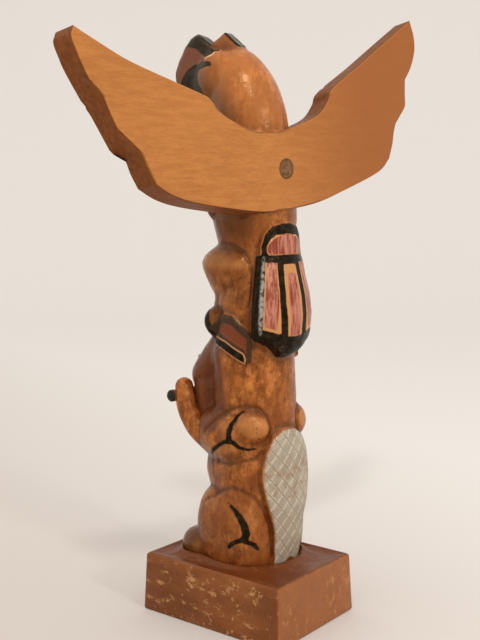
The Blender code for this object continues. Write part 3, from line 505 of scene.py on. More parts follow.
def stain_depth(p):
    """How dark the wood is made, partly darker varnish and partly painted shade: by level, with painted shade
    on the neck under the board, less towards the back so the sides turned from the light are shaded, and dark
    beside beak, knob and foot.
    """
    x, y, level = p
    _, ahead, above = turned(p)
    turn = np.degrees(np.abs(np.arctan2(x, y)))

    def ramp(value, start, end):
        return np.clip((value - start) / (end - start), 0, 1)

    # painted shade: darker on the sides turned from the light, and by level
    depth = np.interp(level, STAIN_AND_SHADE_LEVELS, STAIN_AND_SHADE_SHARES) * np.interp(turn, (35, 60), (0.25, 1.0))
    knob = ramp(turn, 90.0, 96.0) * ramp(level, 168.0, 165.0) * (level > 149)
    foot = ramp(turn, 92.0, 126.0) * ramp(level, 56.0, 44.0)
    # painted shade on the head's lower side beside the beak
    beak = ramp(above + 1.1 * ahead, 277.0, 255.0) * ramp(turn, 40.0, 80.0) * ramp(level, 226.0, 252.0)
    return functools.reduce(np.maximum, (depth, 0.8 * knob, 0.85 * foot, 0.82 * beak))


def head_paint(p, in_head):
    """Distances to the paint on beak and crest and to the line round the hood, far off below the head."""
    x, y, z = turned(p)
    ridge, jaw = outline_distance(y, z, RIDGE), outline_distance(y, z, JAW)
    on_crest = in_head & (z > 297.4) & (np.abs(x) < CREST_HALF) & (y > -24.8) & (y < -4)
    face, top = in_head & ~on_crest, on_crest & (y > -17.4)
    slope = -1.0 - ((y + 16.2) * 0.64 + (z - 305.6) * 0.77)
    frame = np.abs(np.abs(x - CREST_MIDDLE) - 2.6) - 1.35
    distances = {
        "black": (face, np.minimum(ridge, jaw)),
        "beakred": (face, np.maximum(y + np.interp(z, (284, 288), (30.0, 23.5)), 278 - z)),
        "hood": (face & (z > 286) & (y > -24), ridge),
        "grey": (top, np.maximum(slope, np.abs(x - CREST_MIDDLE) - 1.3)),
        "crest": (in_head, np.maximum(297.0 - z, np.abs(x) - CREST_HALF)),
        "stripe": (top, np.maximum(slope, frame)),
    }
    return {key: np.where(where, distance, FAR) for key, (where, distance) in distances.items()}


def bare_wood(shape, **given):
    """Values of all the attributes for wood without paint, with the given ones in place of the usual."""
    usual = dict.fromkeys(PAINTS, FAR)
    usual.update(stain=0.0, hollow=0.0, arc=0.0, level=0.0, flat=0.0, part=0.0, recess=NO_RECESS)
    usual.update(given)
    return {key: value + np.zeros(shape) for key, value in usual.items()}


def block_rings(foot_ring, heading):
    """Rings out over the block's uneven top, round its edge, down its flared sides and in under it."""
    inner = np.hypot(foot_ring[:, 0] / MM - FIGURE_ACROSS, foot_ring[:, 1] / MM)
    outer = block_reach(heading, BLOCK_FLARE + BLOCK_TOP_INSET)
    rings = []

    def ring(reach, height, wear=0.0):
        x, y = FIGURE_ACROSS + np.sin(heading) * reach, np.cos(heading) * reach
        bump = wear * ripple(x * 0.35, y * 0.35, height * 0.5, 11)
        rings.append(np.stack([x * MM, y * MM, (height + bump) * MM], -1))

    for share, height in BLOCK_TOP:
        ring(inner + (outer - inner) * share, BLOCK_HEIGHT + height, 0.25)
    for inset, height in BLOCK_EDGE:
        ring(block_reach(heading, BLOCK_FLARE + inset), BLOCK_HEIGHT + height, 0.12)
    side_top, side_foot = BLOCK_HEIGHT + BLOCK_EDGE[-1][1], BLOCK_FOOT[0][1]
    for k in range(1, BLOCK_SIDE_ROWS):
        t = k / BLOCK_SIDE_ROWS
        ring(block_reach(heading, BLOCK_FLARE * (1 - t)), side_top - (side_top - side_foot) * t)
    for inset, height in BLOCK_FOOT:
        ring(block_reach(heading, inset), height)
    return np.stack(rings)


def pole_surface():
    """Crown rows fan out from the head's heart, shaft rows run level from the spine, block rows go on out."""
    world_heading = headings()
    heading = (world_heading + FIGURE_TURN)[None, :]
    angle = (np.degrees(heading) + 180.0) % 360.0 - 180.0
    rise = np.radians(90 * (1 - np.arange(1, CROWN_ROWS + 1) / CROWN_ROWS))[:, None]
    crown = carved_radius(HEAD_HEART, heading, rise)
    crown_place = (HEAD_HEART[0] + np.sin(heading) * np.cos(rise) * crown,
                   HEAD_HEART[1] + np.cos(heading) * np.cos(rise) * crown,
                   HEAD_HEART[2] + np.sin(rise) * crown)

    drop = BLOCK_HEIGHT - FOOT_SINK - HEAD_HEART[2]
    level = (HEAD_HEART[2] + drop * np.arange(1, SHAFT_ROWS + 1) / SHAFT_ROWS)[:, None] + 0 * heading
    angle = angle + 0 * level
    back = np.interp(level, SPINE_LEVELS, SPINE_BACKS)
    radius = carved_radius((0.0, back, level), heading, 0 * level)
    softer = blurred(radius, 1, 1)
    radius = np.where(np.abs(softer - radius) > STEEP, softer, radius)
    radius, paint = skin_relief(radius, angle, level)
    shaft_place = (np.sin(heading) * radius, back + np.cos(heading) * radius, level)

    x, y, z = [np.concatenate(pair) for pair in zip(crown_place, shaft_place)]
    wave = 0.22 * ripple(x * 0.5, y * 0.5, z * 0.45, 3) + 0.13 * ripple(x * 1.3, y * 1.3, z, 5)
    x, y = x + wave * np.sin(heading), y + wave * np.cos(heading)
    rings = to_world(x, y, z)
    block = block_rings(rings[-1], world_heading)

    reach = np.concatenate([crown, radius])
    paint = {key: np.concatenate([np.full_like(crown, FAR), grid]) for key, grid in paint.items()}
    # distance to the forearms and into the cheek's outline, where the recess by the arms gets painted shade
    arms = limb(folded((x, y, z)), ARM, ARM_RADII)
    recess = np.minimum(arms, paint.pop("cheek") + 3.0)
    head = head_paint((x, y, z), np.concatenate([np.ones(crown.shape, bool), level > 258]))
    black = nearest(paint.pop("black"), head.pop("black"), head.pop("stripe"))
    around = np.concatenate([0 * crown, np.radians(angle) * 27.0])
    # hollow: how far the skin lies under its blurred self, used for painted shade in hollows and a painted
    # highlight where it stands out
    figure = bare_wood(z.shape, black=black, recess=recess, stain=stain_depth((x, y, z)), level=z, arc=around,
                       hollow=blurred(reach, 5, 6) - reach, **paint, **head)
    below = bare_wood(block.shape[:2], part=1.0)
    below["flat"][:len(BLOCK_TOP) + 1] = 1.0
    values = {key: np.concatenate([figure[key], below[key]]) for key in figure}
    crown_top = carved_radius(HEAD_HEART, np.zeros(1), np.full(1, math.pi / 2))[0]
    top = to_world(np.array(0.0), np.array(HEAD_HEART[1]), np.array(HEAD_HEART[2] + crown_top))
    return skin_mesh("pole_surface", np.concatenate([rings, block]), values, top.tolist(),
                     [FIGURE_ACROSS * MM, 0.0, 0.0])


LEFT_TOP = ((0, 18.9), (4.9, 18.5), (18.4, 20.5), (29.3, 24.8), (39.7, 30.8), (45.7, 37.4), (49.2, 39.9),
    (67.3, 47.6), (90.7, 57.7), (106.2, 66.5), (117.4, 73.3))
LEFT_FOOT = ((0, -20.6), (18.7, -19.0), (39.8, -14.4), (62.4, -8.2), (75.0, -3.1), (84.1, 3.1))
LEFT_TIPS = (((117.4, 73.3), (119.3, 69.3), (117.8, 63.4), (115.3, 56.5), (113.0, 51.0)), ((113.0, 51.0),
    (107.3, 44.1), (104.6, 36.8), (101.6, 29.4)), ((101.6, 29.4), (93.1, 21.2), (90.2, 17.8), (87.3, 10.0),
    (84.1, 3.1)))
RIGHT_TOP = ((0, 18.9), (5.8, 19.8), (17.0, 21.8), (28.7, 25.1), (36.1, 31.3), (40.8, 37.2), (65.1, 48.2),
    (87.3, 58.7), (110.7, 69.4))
RIGHT_FOOT = ((0, -20.6), (21.0, -20.2), (40.9, -17.3), (72.8, -10.9), (83.6, -4.7))
RIGHT_TIPS = (((110.7, 69.4), (113.6, 61.0), (113.6, 53.0), (109.4, 44.3), (103.0, 37.4)), ((103.0, 37.4),
    (102.0, 29.6), (101.3, 23.0), (97.2, 18.9), (91.8, 14.2)), ((91.8, 14.2), (89.5, 9.3), (87.6, 3.2),
    (83.6, -4.7)))
FRONT_OUT, FRONT_DROP = 1.6, 1.8
FRONT_NOTCH_DROP, FRONT_NOTCH_BITE = 9.0, 5.0
GROOVE_DEPTH, GROOVE_HALF = 1.1, 1.6
RIM_SHARES = (0.12, 0.26, 0.40, 0.54, 0.68, 0.80, 0.90)


def smooth_run(points, share):
    """Points at the given shares of the length of a smooth curve through a list of points."""
    points = np.array(points, float)
    ends = np.vstack([2 * points[0] - points[1], points, 2 * points[-1] - points[-2]])
    t = np.linspace(0.0, 1.0, 24)[:, None]
    fine = np.vstack([0.5 * (2 * b + (c - a) * t + (2 * a - 5 * b + 4 * c - d) * t ** 2
                             + (3 * b - 3 * c + d - a) * t ** 3)
                      for a, b, c, d in zip(ends, ends[1:], ends[2:], ends[3:])])
    length = np.concatenate([[0.0], np.cumsum(np.linalg.norm(np.diff(fine, axis=0), axis=1))])
    at = np.asarray(share) * length[-1]
    return np.stack([np.interp(at, length, fine[:, 0]), np.interp(at, length, fine[:, 1])], -1)


def outer_edge(tips, share):
    """Outer edge of a wing: three feather tips, each a third of the way."""
    out = np.zeros(share.shape + (2,))
    for k, tip in enumerate(tips):
        here = (share * 3 >= k - 1e-9) & (share * 3 <= k + 1 + 1e-9)
        out[here] = smooth_run(tip, np.clip(share[here] * 3 - k, 0.0, 1.0))
    return out


def wing_patch(top, foot, tips, along, down):
    """Surface filled between four edges: both pairs of facing edges added, the corners' blend taken away."""
    upper, lower = smooth_run(top, along)[:, None, :], smooth_run(foot, along)[:, None, :]
    outer = outer_edge(tips, down)[None, :, :]
    inner = (np.array(top[0]) * (1 - down[:, None]) + np.array(foot[0]) * down[:, None])[None, :, :]
    u, v = along[:, None, None], down[None, :, None]
    corners = ((1 - u) * (1 - v) * np.array(top[0]) + (1 - u) * v * np.array(foot[0])
               + u * (1 - v) * np.array(top[-1]) + u * v * np.array(foot[-1]))
    return (1 - v) * upper + v * lower + (1 - u) * inner + u * outer - corners


def front_outline(top, foot, tips):
    """The same outline at the board's front: lower, a little further out, with deeper notches."""
    def moved(points):
        return tuple((x + FRONT_OUT * min(1.0, x / 80.0), z - FRONT_DROP) for x, z in points)
    new = []
    for k, tip in enumerate(tips):
        run = [list(q) for q in moved(tip)]
        if k > 0:
            run[0] = [run[0][0] - FRONT_NOTCH_BITE, run[0][1] - FRONT_NOTCH_DROP]
            run = [run[0]] + [q for q in run[1:] if q[1] < run[0][1] - 1.0]
        if k < 2:
            run[-1] = [run[-1][0] - FRONT_NOTCH_BITE, run[-1][1] - FRONT_NOTCH_DROP]
        new.append(tuple(tuple(q) for q in run))
    return moved(top), moved(foot), tuple(new)


def board_world(across, height, y):
    """Rolls a place on the board about its peg and moves it behind the neck."""
    c, s = math.cos(BOARD_ROLL), math.sin(BOARD_ROLL)
    return to_world(PEG_ACROSS + across * c + height * s, y, PEG_LEVEL + height * c - across * s)


def board_face(front, along, down):
    """Places on one face of the board, from the left wing's tip to the right wing's."""
    wings = []
    for side, edges in ((1, (LEFT_TOP, LEFT_FOOT, LEFT_TIPS)), (-1, (RIGHT_TOP, RIGHT_FOOT, RIGHT_TIPS))):
        patch = wing_patch(*(front_outline(*edges) if front else edges), along, down)
        patch[..., 0] *= side
        wings.append(patch)
    return np.concatenate([wings[0][::-1], wings[1][1:]])


def feather_grooves(rows, down):
    """The front's three long feathers and root panel: distance to their grooves, and to groove or edge."""
    u, v = np.abs(np.linspace(1, -1, rows))[:, None], down[None, :]
    lines = np.minimum(np.abs(v - 1 / 3), np.abs(v - 2 / 3)) * 70.0
    groove = np.minimum(np.where(u > 0.44, lines, FAR), np.abs(u - 0.42) * 110.0)
    return groove, nearest(groove, FAR, np.minimum(v, 1 - v) * 70, (1 - u) * 60 + 3)


def board_surface():
    """Flat back, carved front and a rim of rings between them with softened edges."""
    along, down = np.linspace(0, 1, BOARD_ALONG), np.linspace(0, 1, BOARD_DOWN)
    back, fore = board_face(False, along, down), board_face(True, along, down)
    rows, cols = back.shape[:2]
    groove, border = feather_grooves(rows, down)
    wave = 0.10 * ripple(back[..., 0] * 0.10, back[..., 1] * 0.16, 0.0, 21)
    y_back = BOARD_BACK + wave - 0.010 * np.maximum(back[..., 0] - 8.0, 0.0)
    wave = 0.10 * ripple(fore[..., 0] * 0.2, fore[..., 1] * 0.3, 0.0, 23)
    y_front = BOARD_BACK - BOARD_THICKNESS + GROOVE_DEPTH * np.clip(1 - groove / GROOVE_HALF, 0, 1) + wave

    rim_back, rim_front = rim_ring(back), rim_ring(fore)
    in_back, in_front = inward(rim_back), inward(rim_front)
    put_ring(back, rim_back + in_back * 0.55)
    put_ring(fore, rim_front + in_front * 0.6)
    yb, yf = rim_ring(y_back[..., None])[:, 0], rim_ring(y_front[..., None])[:, 0]
    steps = [(rim_back + in_back * 0.18, yb - 0.16), (rim_back, yb - 0.55)]
    steps += [(rim_back * (1 - t) + rim_front * t, yb * (1 - t) + yf * t) for t in RIM_SHARES]
    steps += [(rim_front, yf + 0.5), (rim_front + in_front * 0.2, yf + 0.15)]

    count, around = rows * cols, len(rim_back)
    points = [board_world(*grid.reshape(-1, 2).T, y.reshape(-1))
              for grid, y in ((back, y_back), (fore, y_front))]
    points += [board_world(*loop.T, y) for loop, y in steps]
    place = np.concatenate([back.reshape(-1, 2), fore.reshape(-1, 2)] + [loop for loop, y in steps])
    share = [np.zeros(count), np.ones(count)]
    share += [np.full(around, 0.02 + 0.96 * (k + 1) / (len(steps) + 1)) for k in range(len(steps))]
    border = [np.full(count, FAR), border.reshape(-1), np.full(around * len(steps), FAR)]

    ids = np.arange(count).reshape(rows, cols)
    quads = np.stack([ids[:-1, :-1], ids[1:, :-1], ids[1:, 1:], ids[:-1, 1:]], -1).reshape(-1, 4)
    quads = [quads, quads[:, ::-1] + count]
    rim_ids = rim_ring(ids[..., None])[:, 0]
    between = [2 * count + k * around + np.arange(around) for k in range(len(steps))]
    loops = [rim_ids, *between, rim_ids + count]
    quads += [np.stack([a, b, np.roll(b, -1), np.roll(a, -1)], -1) for a, b in zip(loops, loops[1:])]
    values = {"share": np.concatenate(share), "across": place[:, 0], "height": place[:, 1],
              "border": np.concatenate(border)}
    board = smooth_mesh("board_surface", np.concatenate(points), np.concatenate(quads).tolist(), values)
    return outwards(board)


def rim_ring(grid):
    """The outer ring of a grid, in order."""
    return np.concatenate([grid[:, 0], grid[-1, 1:], grid[-2::-1, -1], grid[0, -2:0:-1]])


def put_ring(grid, ring):
    """Writes the outer ring of a grid back."""
    r, c = grid.shape[:2]
    grid[:, 0] = ring[:r]
    grid[-1, 1:] = ring[r:r + c - 1]
    grid[-2::-1, -1] = ring[r + c - 1:2 * r + c - 2]
    grid[0, -2:0:-1] = ring[2 * r + c - 2:]


def inward(ring):
    """Unit direction into a closed loop at each of its points."""
    t = np.roll(ring, -1, 0) - np.roll(ring, 1, 0)
    n = np.stack([-t[:, 1], t[:, 0]], -1)
    n /= np.maximum(np.linalg.norm(n, axis=1, keepdims=True), 1e-9)
    area = np.sum(ring[:, 0] * np.roll(ring[:, 1], -1) - np.roll(ring[:, 0], -1) * ring[:, 1])
    return n * (1 if area > 0 else -1)


def outwards(thing):
    """Turns every face of a closed mesh outwards, by the sign of its volume."""
    mesh = thing.data
    mesh.calc_loop_triangles()
    t = np.zeros(len(mesh.loop_triangles) * 3, int)
    mesh.loop_triangles.foreach_get("vertices", t)
    co = np.zeros(len(mesh.vertices) * 3)
    mesh.vertices.foreach_get("co", co)
    a, b, c = co.reshape(-1, 3)[t.reshape(-1, 3)].transpose(1, 0, 2)
    if np.sum(a * np.cross(b, c)) < 0:
        mesh.flip_normals()
    return thing


def turned_rod(name, start, end, profile, sides=64):
    """Round rod from start to end: profile gives (distance from start, radius) for each ring."""
    start, end = np.array(start), np.array(end)
    axis = (end - start) / np.linalg.norm(end - start)
    across = np.cross(axis, (0.0, 0.0, 1.0))
    across /= np.linalg.norm(across)
    over = np.cross(across, axis)
    turn = np.arange(sides) * 2 * math.pi / sides
    circle = np.outer(np.cos(turn), across) + np.outer(np.sin(turn), over)
    rings = np.stack([start + axis * d * MM + circle * r * MM for d, r in profile])
    along = np.array([d for d, r in profile])[:, None] + 0 * turn
    thing = skin_mesh(name, rings, {"along": along}, rings[0].mean(0).tolist(), rings[-1].mean(0).tolist())
    return outwards(thing)


def peg_surface():
    """Plug end a little under the board's back, with a softened edge."""
    r = PEG_DIAMETER / 2
    start, end = [board_world(*np.array((0.0, 0.0, BOARD_BACK + y))) for y in (0.12, -20.0)]
    profile = [(0.05, r * 0.3), (0.0, r * 0.6), (0.0, r * 0.82), (0.08, r * 0.93), (0.35, r * 0.99), (2.0, r),
               (22.0, r)]
    return turned_rod("peg_surface", start, end, profile)


def arm_surface(name, side):
    """Forearm and paw: a round profile swept along a smooth line through ARM, closed by round ends."""
    line, radii = np.array(ARM, float), np.array(ARM_RADII)
    share = np.linspace(0, 1, ARM_ROWS)
    at = np.concatenate([[0], np.cumsum(np.linalg.norm(np.diff(line, axis=0), axis=1))])
    at /= at[-1]

    def smoothed(values):
        padded = np.pad(np.interp(share, at, values), ARM_BLUR, mode="reflect", reflect_type="odd")
        return np.convolve(padded, np.ones(2 * ARM_BLUR + 1) / (2 * ARM_BLUR + 1), "valid")

    path = np.stack([smoothed(line[:, i]) for i in range(3)], -1)
    radius = np.interp(share, at, radii)
    run = np.gradient(path, axis=0)
    run /= np.linalg.norm(run, axis=1, keepdims=True)
    # round end: rings past the last point shrink as a half circle
    cap = np.linspace(0.1, 1.0, 10)[:-1] * math.pi / 2
    path = np.concatenate([path, path[-1] + run[-1] * radius[-1] * np.sin(cap)[:, None]])
    radius = np.concatenate([radius, radius[-1] * np.cos(cap)])
    run = np.concatenate([run, np.repeat(run[-1:], len(cap), 0)])
    over = np.cross(run, (1.0, 0.0, 0.0))
    over /= np.linalg.norm(over, axis=1, keepdims=True)
    across = np.cross(over, run)
    turn = np.arange(ARM_SIDES) * 2 * math.pi / ARM_SIDES
    cos, sin = np.cos(turn), np.sin(turn)
    uneven = ripple(path[:, :1] * 0.3, cos * 1.6, sin * 1.6 + path[:, 2:] * 0.2, 31)
    grow = radius[:, None] * (1 + 0.05 * uneven)
    circle = cos[:, None] * across[:, None, :] + sin[:, None] * over[:, None, :]
    skin = path[:, None, :] + circle * grow[..., None]
    skin[..., 0] *= side
    rings = to_world(*np.moveaxis(skin, -1, 0))
    values = bare_wood(grow.shape, stain=0.05, arc=60.0, level=skin[..., 2])
    tip = to_world(*[np.array(v) for v in ((path[-1] + run[-1] * radius[-1] * 0.2) * np.array([side, 1, 1]))])
    return outwards(skin_mesh(name, rings, values, rings[0].mean(0).tolist(), tip.tolist()))


def stick_surface():
    """Round stick across the beaver's paws with rounded ends."""
    r, half = STICK_DIAMETER / 2, STICK_LENGTH / 2
    a, b = [to_world(*np.array((side * half, STICK_AHEAD, STICK_LEVEL))) for side in (1, -1)]
    ends = [(0.0, r * 0.55), (0.25, r * 0.85), (0.9, r)]
    profile = ends + [(d, r * (1 + 0.02 * math.sin(d))) for d in np.linspace(2, STICK_LENGTH - 2, 20)]
    profile += [(STICK_LENGTH - d, q) for d, q in ends[::-1]]
    return turned_rod("stick_surface", a, b, profile)


# materials
class Shader:
    """Small helper that adds nodes to a material and joins them."""

    def __init__(self, name):
        self.material = bpy.data.materials.new(name)
        self.material.use_nodes = True
        self.tree = self.material.node_tree
        self.surface = self.tree.nodes["Principled BSDF"]
        self.coords = self.node("ShaderNodeTexCoord").outputs["Object"]

    def node(self, kind, **settings):
        made = self.tree.nodes.new(kind)
        for key, value in settings.items():
            setattr(made, key, value)
        return made

    def put(self, socket, value):
        if isinstance(value, bpy.types.NodeSocket):
            self.tree.links.new(value, socket)
        elif isinstance(value, tuple) and len(value) == 3 and socket.type == "RGBA":
            socket.default_value = (*value, 1.0)
        else:
            socket.default_value = value

    def math(self, operation, a, b=0.0):
        made = self.node("ShaderNodeMath", operation=operation)
        for socket, value in zip(made.inputs, (a, b)):
            self.put(socket, value)
        return made.outputs[0]

    def times(self, a, b):
        return self.math("MULTIPLY", a, b)

    def plus(self, a, b):
        return self.math("ADD", a, b)

    def minus(self, a, b):
        return self.math("SUBTRACT", a, b)

    def attribute(self, name):
        return self.node("ShaderNodeAttribute", attribute_name=name).outputs["Fac"]

    def noise(self, scale, detail=3.0, rough=0.5, stretch=(1, 1, 1), turn=(0, 0, 0)):
        place = self.node("ShaderNodeMapping")
        self.put(place.inputs["Vector"], self.coords)
        place.inputs["Rotation"].default_value = turn
        place.inputs["Scale"].default_value = stretch
        made = self.node("ShaderNodeTexNoise")
        self.put(made.inputs["Vector"], place.outputs[0])
        for key, value in (("Scale", scale), ("Detail", detail), ("Roughness", rough)):
            made.inputs[key].default_value = value
        return made.outputs["Fac"]

    def span(self, value, low, high, to_low=0.0, to_high=1.0):
        made = self.node("ShaderNodeMapRange", interpolation_type="SMOOTHSTEP")
        for socket, v in zip(made.inputs, (value, low, high, to_low, to_high)):
            self.put(socket, v)
        return made.outputs[0]

    def mix(self, share, a, b):
        """Goes from one colour to the other; a colour given as numbers is a display colour."""
        made = self.node("ShaderNodeMix", data_type="RGBA")
        for place, value in ((0, share), (6, a), (7, b)):
            self.put(made.inputs[place], shade(value) if isinstance(value, tuple) else value)
        return made.outputs[2]

    def wash(self, under, share, strength, colour):
        """Lays a display colour over another one, where share says and as much as strength says."""
        return self.mix(self.times(share, strength), under, colour)

    def finish(self, colour, gloss, tint, rough, height, strength, distance):
        """Sets the surface from its colour, highlights, roughness and bump, and hands the material over."""
        bump = self.node("ShaderNodeBump")
        for key, value in (("Height", height), ("Strength", strength), ("Distance", distance)):
            self.put(bump.inputs[key], value)
        for key, value in (("Base Color", colour), ("Specular IOR Level", gloss), ("Specular Tint", tint),
                           ("Roughness", rough), ("Normal", bump.outputs[0])):
            self.put(self.surface.inputs[key], value)
        return self.material


def shade(colour):
    """Colour given as 0 to 255 display values, turned into light values."""
    shares = [v / 255 for v in colour]
    return tuple(v / 12.92 if v <= 0.04045 else ((v + 0.055) / 1.055) ** 2.4 for v in shares)


def stained_wood(s, n):
    """The pole's wood: mottled, darker in hollows, cuts and the recess by the arms as painted shade, darker
    where varnish and painted shade lie, and paler where it stands out as a painted highlight.
    """
    base = s.mix(s.span(n.grain, 0.34, 0.68), (128, 66, 22), (196, 116, 54))
    base = s.wash(base, s.span(n.mottle, 0.50, 0.64), 0.55, (222, 142, 78))
    base = s.wash(base, s.span(n.mottle, 0.50, 0.36), 0.6, (96, 46, 16))
    base = s.wash(base, s.span(n.patch, 0.40, 0.60), 0.65, (128, 66, 26))
    base = s.wash(base, s.span(n.wide, 0.48, 0.62), 0.45, (178, 100, 44))
    base = s.wash(base, n.head, 0.4, (200, 120, 58))
    base = s.wash(base, s.span(n.level, 80.0, 50.0), 0.25, (128, 66, 30))
    # painted shade in the hollows, from how far the skin lies under its blurred self
    hollow = s.attribute("hollow")
    hollow_shade = s.span(s.plus(hollow, s.times(n.wobble, 0.35)), 0.05, 1.1)
    base = s.wash(base, hollow_shade, 0.62, (76, 36, 14))
    # painted shade in the knife cuts
    base = s.wash(base, s.span(s.attribute("cut"), 1.6, -0.1), 0.36, (80, 38, 16))
    # painted highlight where the skin stands out
    proud_highlight = s.span(s.plus(hollow, s.times(n.wobble, 0.3)), -0.12, -0.9)
    base = s.wash(base, proud_highlight, 0.5, (218, 146, 84))
    base = s.wash(base, s.span(s.attribute("crest"), 3.0, -2.0), 0.85, (122, 62, 32))
    # painted shade in the recess between the beaver's face, chest and arms
    recess = s.span(s.plus(s.attribute("recess"), s.times(n.wobble, 2.0)), 7.0, 2.0)
    base = s.wash(base, recess, 0.86, (88, 36, 18))
    # darker varnish and painted shade, where that attribute says
    stain = s.times(s.attribute("stain"), s.span(n.patch, 0.25, 0.65, 1.12, 0.88))
    base = s.mix(stain, base, (70, 32, 9))
    return s.wash(base, n.specks, 0.8, (66, 30, 12))


def block_wood(s, n):
    """The block's wood: redder, duller and scuffed, with chips, darkest on its top, and lighter as painted
    light on the faces towards +Y.
    """
    grain = s.noise(110.0, 4.0, 0.6, (1.0, 0.25, 1.0))
    block = s.mix(s.span(grain, 0.35, 0.7), (112, 60, 28), (136, 78, 40))
    block = s.wash(block, s.span(n.wide, 0.45, 0.6), 0.35, (98, 48, 24))
    chips = s.span(s.noise(260.0, 5.0, 0.8, (1.0, 0.5, 0.8)), 0.55, 0.60)
    chips = s.times(chips, s.span(n.patch, 0.45, 0.53))
    block = s.wash(block, chips, 0.7, (196, 146, 96))
    block = s.wash(block, s.span(n.fleck, 0.62, 0.70), 0.5, (70, 34, 16))
    # painted light: faces whose normal points towards +Y, the side the lamps are on, made lighter
    lamp_side_facing = s.node("ShaderNodeSeparateXYZ")
    s.put(lamp_side_facing.inputs[0], s.node("ShaderNodeNewGeometry").outputs["Normal"])
    block = s.wash(block, s.span(lamp_side_facing.outputs[1], 0.5, 0.9), 0.5, (172, 104, 56))
    return s.wash(block, s.span(s.attribute("flat"), 0.2, 0.8), 0.7, (98, 42, 14))


def paddle_paint(s, n):
    """Grey-white paint with a net of cut lines for the beaver's tail, with painted shade in the cuts and a
    painted highlight beside them, and where the lines are.
    """
    wander = s.times(s.minus(s.noise(160.0, 2.0), 0.5), 0.22)
    a = s.plus(s.math("DIVIDE", s.attribute("arc"), 6.6), wander)
    b = s.math("DIVIDE", n.level, 8.2)
    up, fall = [s.math("ABSOLUTE", s.minus(s.math("FRACT", s.plus(place, 100.0)), 0.5))
                for place in (s.plus(a, b), s.minus(a, b))]
    cut_up, cut_fall = s.span(up, 0.055, 0.02), s.span(fall, 0.055, 0.02)
    paint = s.mix(s.span(s.noise(90.0, 3.0), 0.4, 0.65), (158, 146, 130), (176, 166, 150))
    # painted highlight beside each cut line, brighter along the rising slant
    paint = s.wash(paint, s.span(up, 0.10, 0.06), 0.9, (244, 234, 212))
    paint = s.wash(paint, s.span(fall, 0.10, 0.06), 0.55, (232, 220, 196))
    # painted shade in the cut lines, darker along the falling slant
    paint = s.wash(paint, cut_up, 0.75, (136, 106, 76))
    paint = s.wash(paint, cut_fall, 0.85, (92, 72, 52))
    middle = s.span(s.math("ABSOLUTE", s.minus(n.level, 76.0)), 26.0, 6.0)
    rubbed = s.span(s.times(s.noise(240.0, 4.0, 0.7), middle), 0.50, 0.58)
    return s.wash(paint, rubbed, 0.45, (140, 104, 66)), s.math("MAXIMUM", cut_up, cut_fall)


def carved_wood():
    """Material of the pole and the arms; the mesh's attributes say where wood, block and each paint are."""
    s = Shader("carved_wood")
    n = SimpleNamespace(grain=s.noise(300.0, 4.0, 0.65, (1.0, 1.0, 0.35)),
                        patch=s.noise(62.0, 4.0, 0.6, (1.0, 1.0, 0.7)),
                        fleck=s.noise(760.0, 3.0, 0.65, (1.0, 1.0, 0.5)),
                        wide=s.noise(17.0, 3.0, 0.55), mottle=s.noise(230.0, 5.0, 0.7),
                        level=s.attribute("level"))
    n.wobble = s.times(s.minus(s.noise(420.0, 2.0), 0.5), 0.8)
    n.head = s.span(n.level, 246.0, 262.0)
    specks = s.times(s.span(n.fleck, 0.60, 0.70), s.span(n.patch, 0.40, 0.54))
    n.specks = s.times(specks, s.minus(1.0, s.times(n.head, 0.75)))
    part = s.attribute("part")

    def edge(name, soft=0.28, fray=1.0):
        return s.span(s.plus(s.attribute(name), s.times(n.wobble, fray)), soft, -soft)

    def thin_line(distance, middle, half):
        return s.span(s.math("ABSOLUTE", s.minus(distance, middle)), half, 0.3)

    colour = s.mix(part, stained_wood(s, n), block_wood(s, n))
    white = edge("white")
    paint, net = paddle_paint(s, n)
    colour = s.mix(white, colour, paint)
    colour = s.wash(colour, edge("earband"), 0.94, (36, 27, 19))
    colour = s.mix(edge("earred", 0.28, 0.5), colour, (116, 54, 32))
    colour = s.mix(edge("rim", 0.2, 0.35), colour, (196, 136, 84))
    ear_line = s.plus(s.attribute("earline"), s.times(n.wobble, 0.2))
    colour = s.wash(colour, thin_line(ear_line, 0.75, 0.6), 0.85, (196, 134, 88))
    pale = s.noise(520.0, 3.0, 0.7, (1.0, 1.0, 0.10))
    red = s.mix(s.span(pale, 0.42, 0.60), (134, 56, 42), (186, 118, 100))
    colour = s.mix(edge("red", 0.3), colour, red)
    colour = s.mix(edge("beakred"), colour, (104, 50, 32))
    colour = s.mix(edge("grey", 0.2, 0.3), colour, (64, 60, 53))
    colour = s.wash(colour, thin_line(s.attribute("hood"), 0.7, 0.7), 0.85, (236, 184, 126))
    black = edge("black", 0.22)
    worn = s.span(s.noise(380.0, 3.0, 0.7), 0.62, 0.70)
    soot = s.mix(s.span(s.noise(300.0, 3.0), 0.4, 0.7), (20, 16, 11), (42, 35, 25))
    colour = s.mix(s.times(black, s.minus(1.0, s.times(worn, 0.3))), colour, soot)
    # painted highlight: the pale sheen along the tail feather's edge
    painted_sheen = s.times(edge("painted_sheen", 0.7), s.span(s.noise(520.0, 3.0), 0.30, 0.56))
    colour = s.wash(colour, painted_sheen, 0.85, (168, 162, 152))
    gloss = s.plus(s.times(black, -0.30), s.plus(0.40, s.times(n.head, 0.2)))
    rough = s.plus(s.span(n.patch, 0.3, 0.7, 0.20, 0.32), s.times(white, 0.22))
    rough = s.plus(rough, s.times(part, 0.12))
    tall = s.plus(s.times(n.grain, 0.5), s.times(n.patch, 1.4))
    tall = s.minus(s.minus(tall, s.times(s.times(net, white), 1.6)), s.times(n.specks, 0.4))
    return s.finish(colour, gloss, (1.0, 0.72, 0.42), rough, tall, 0.6, 0.0008)


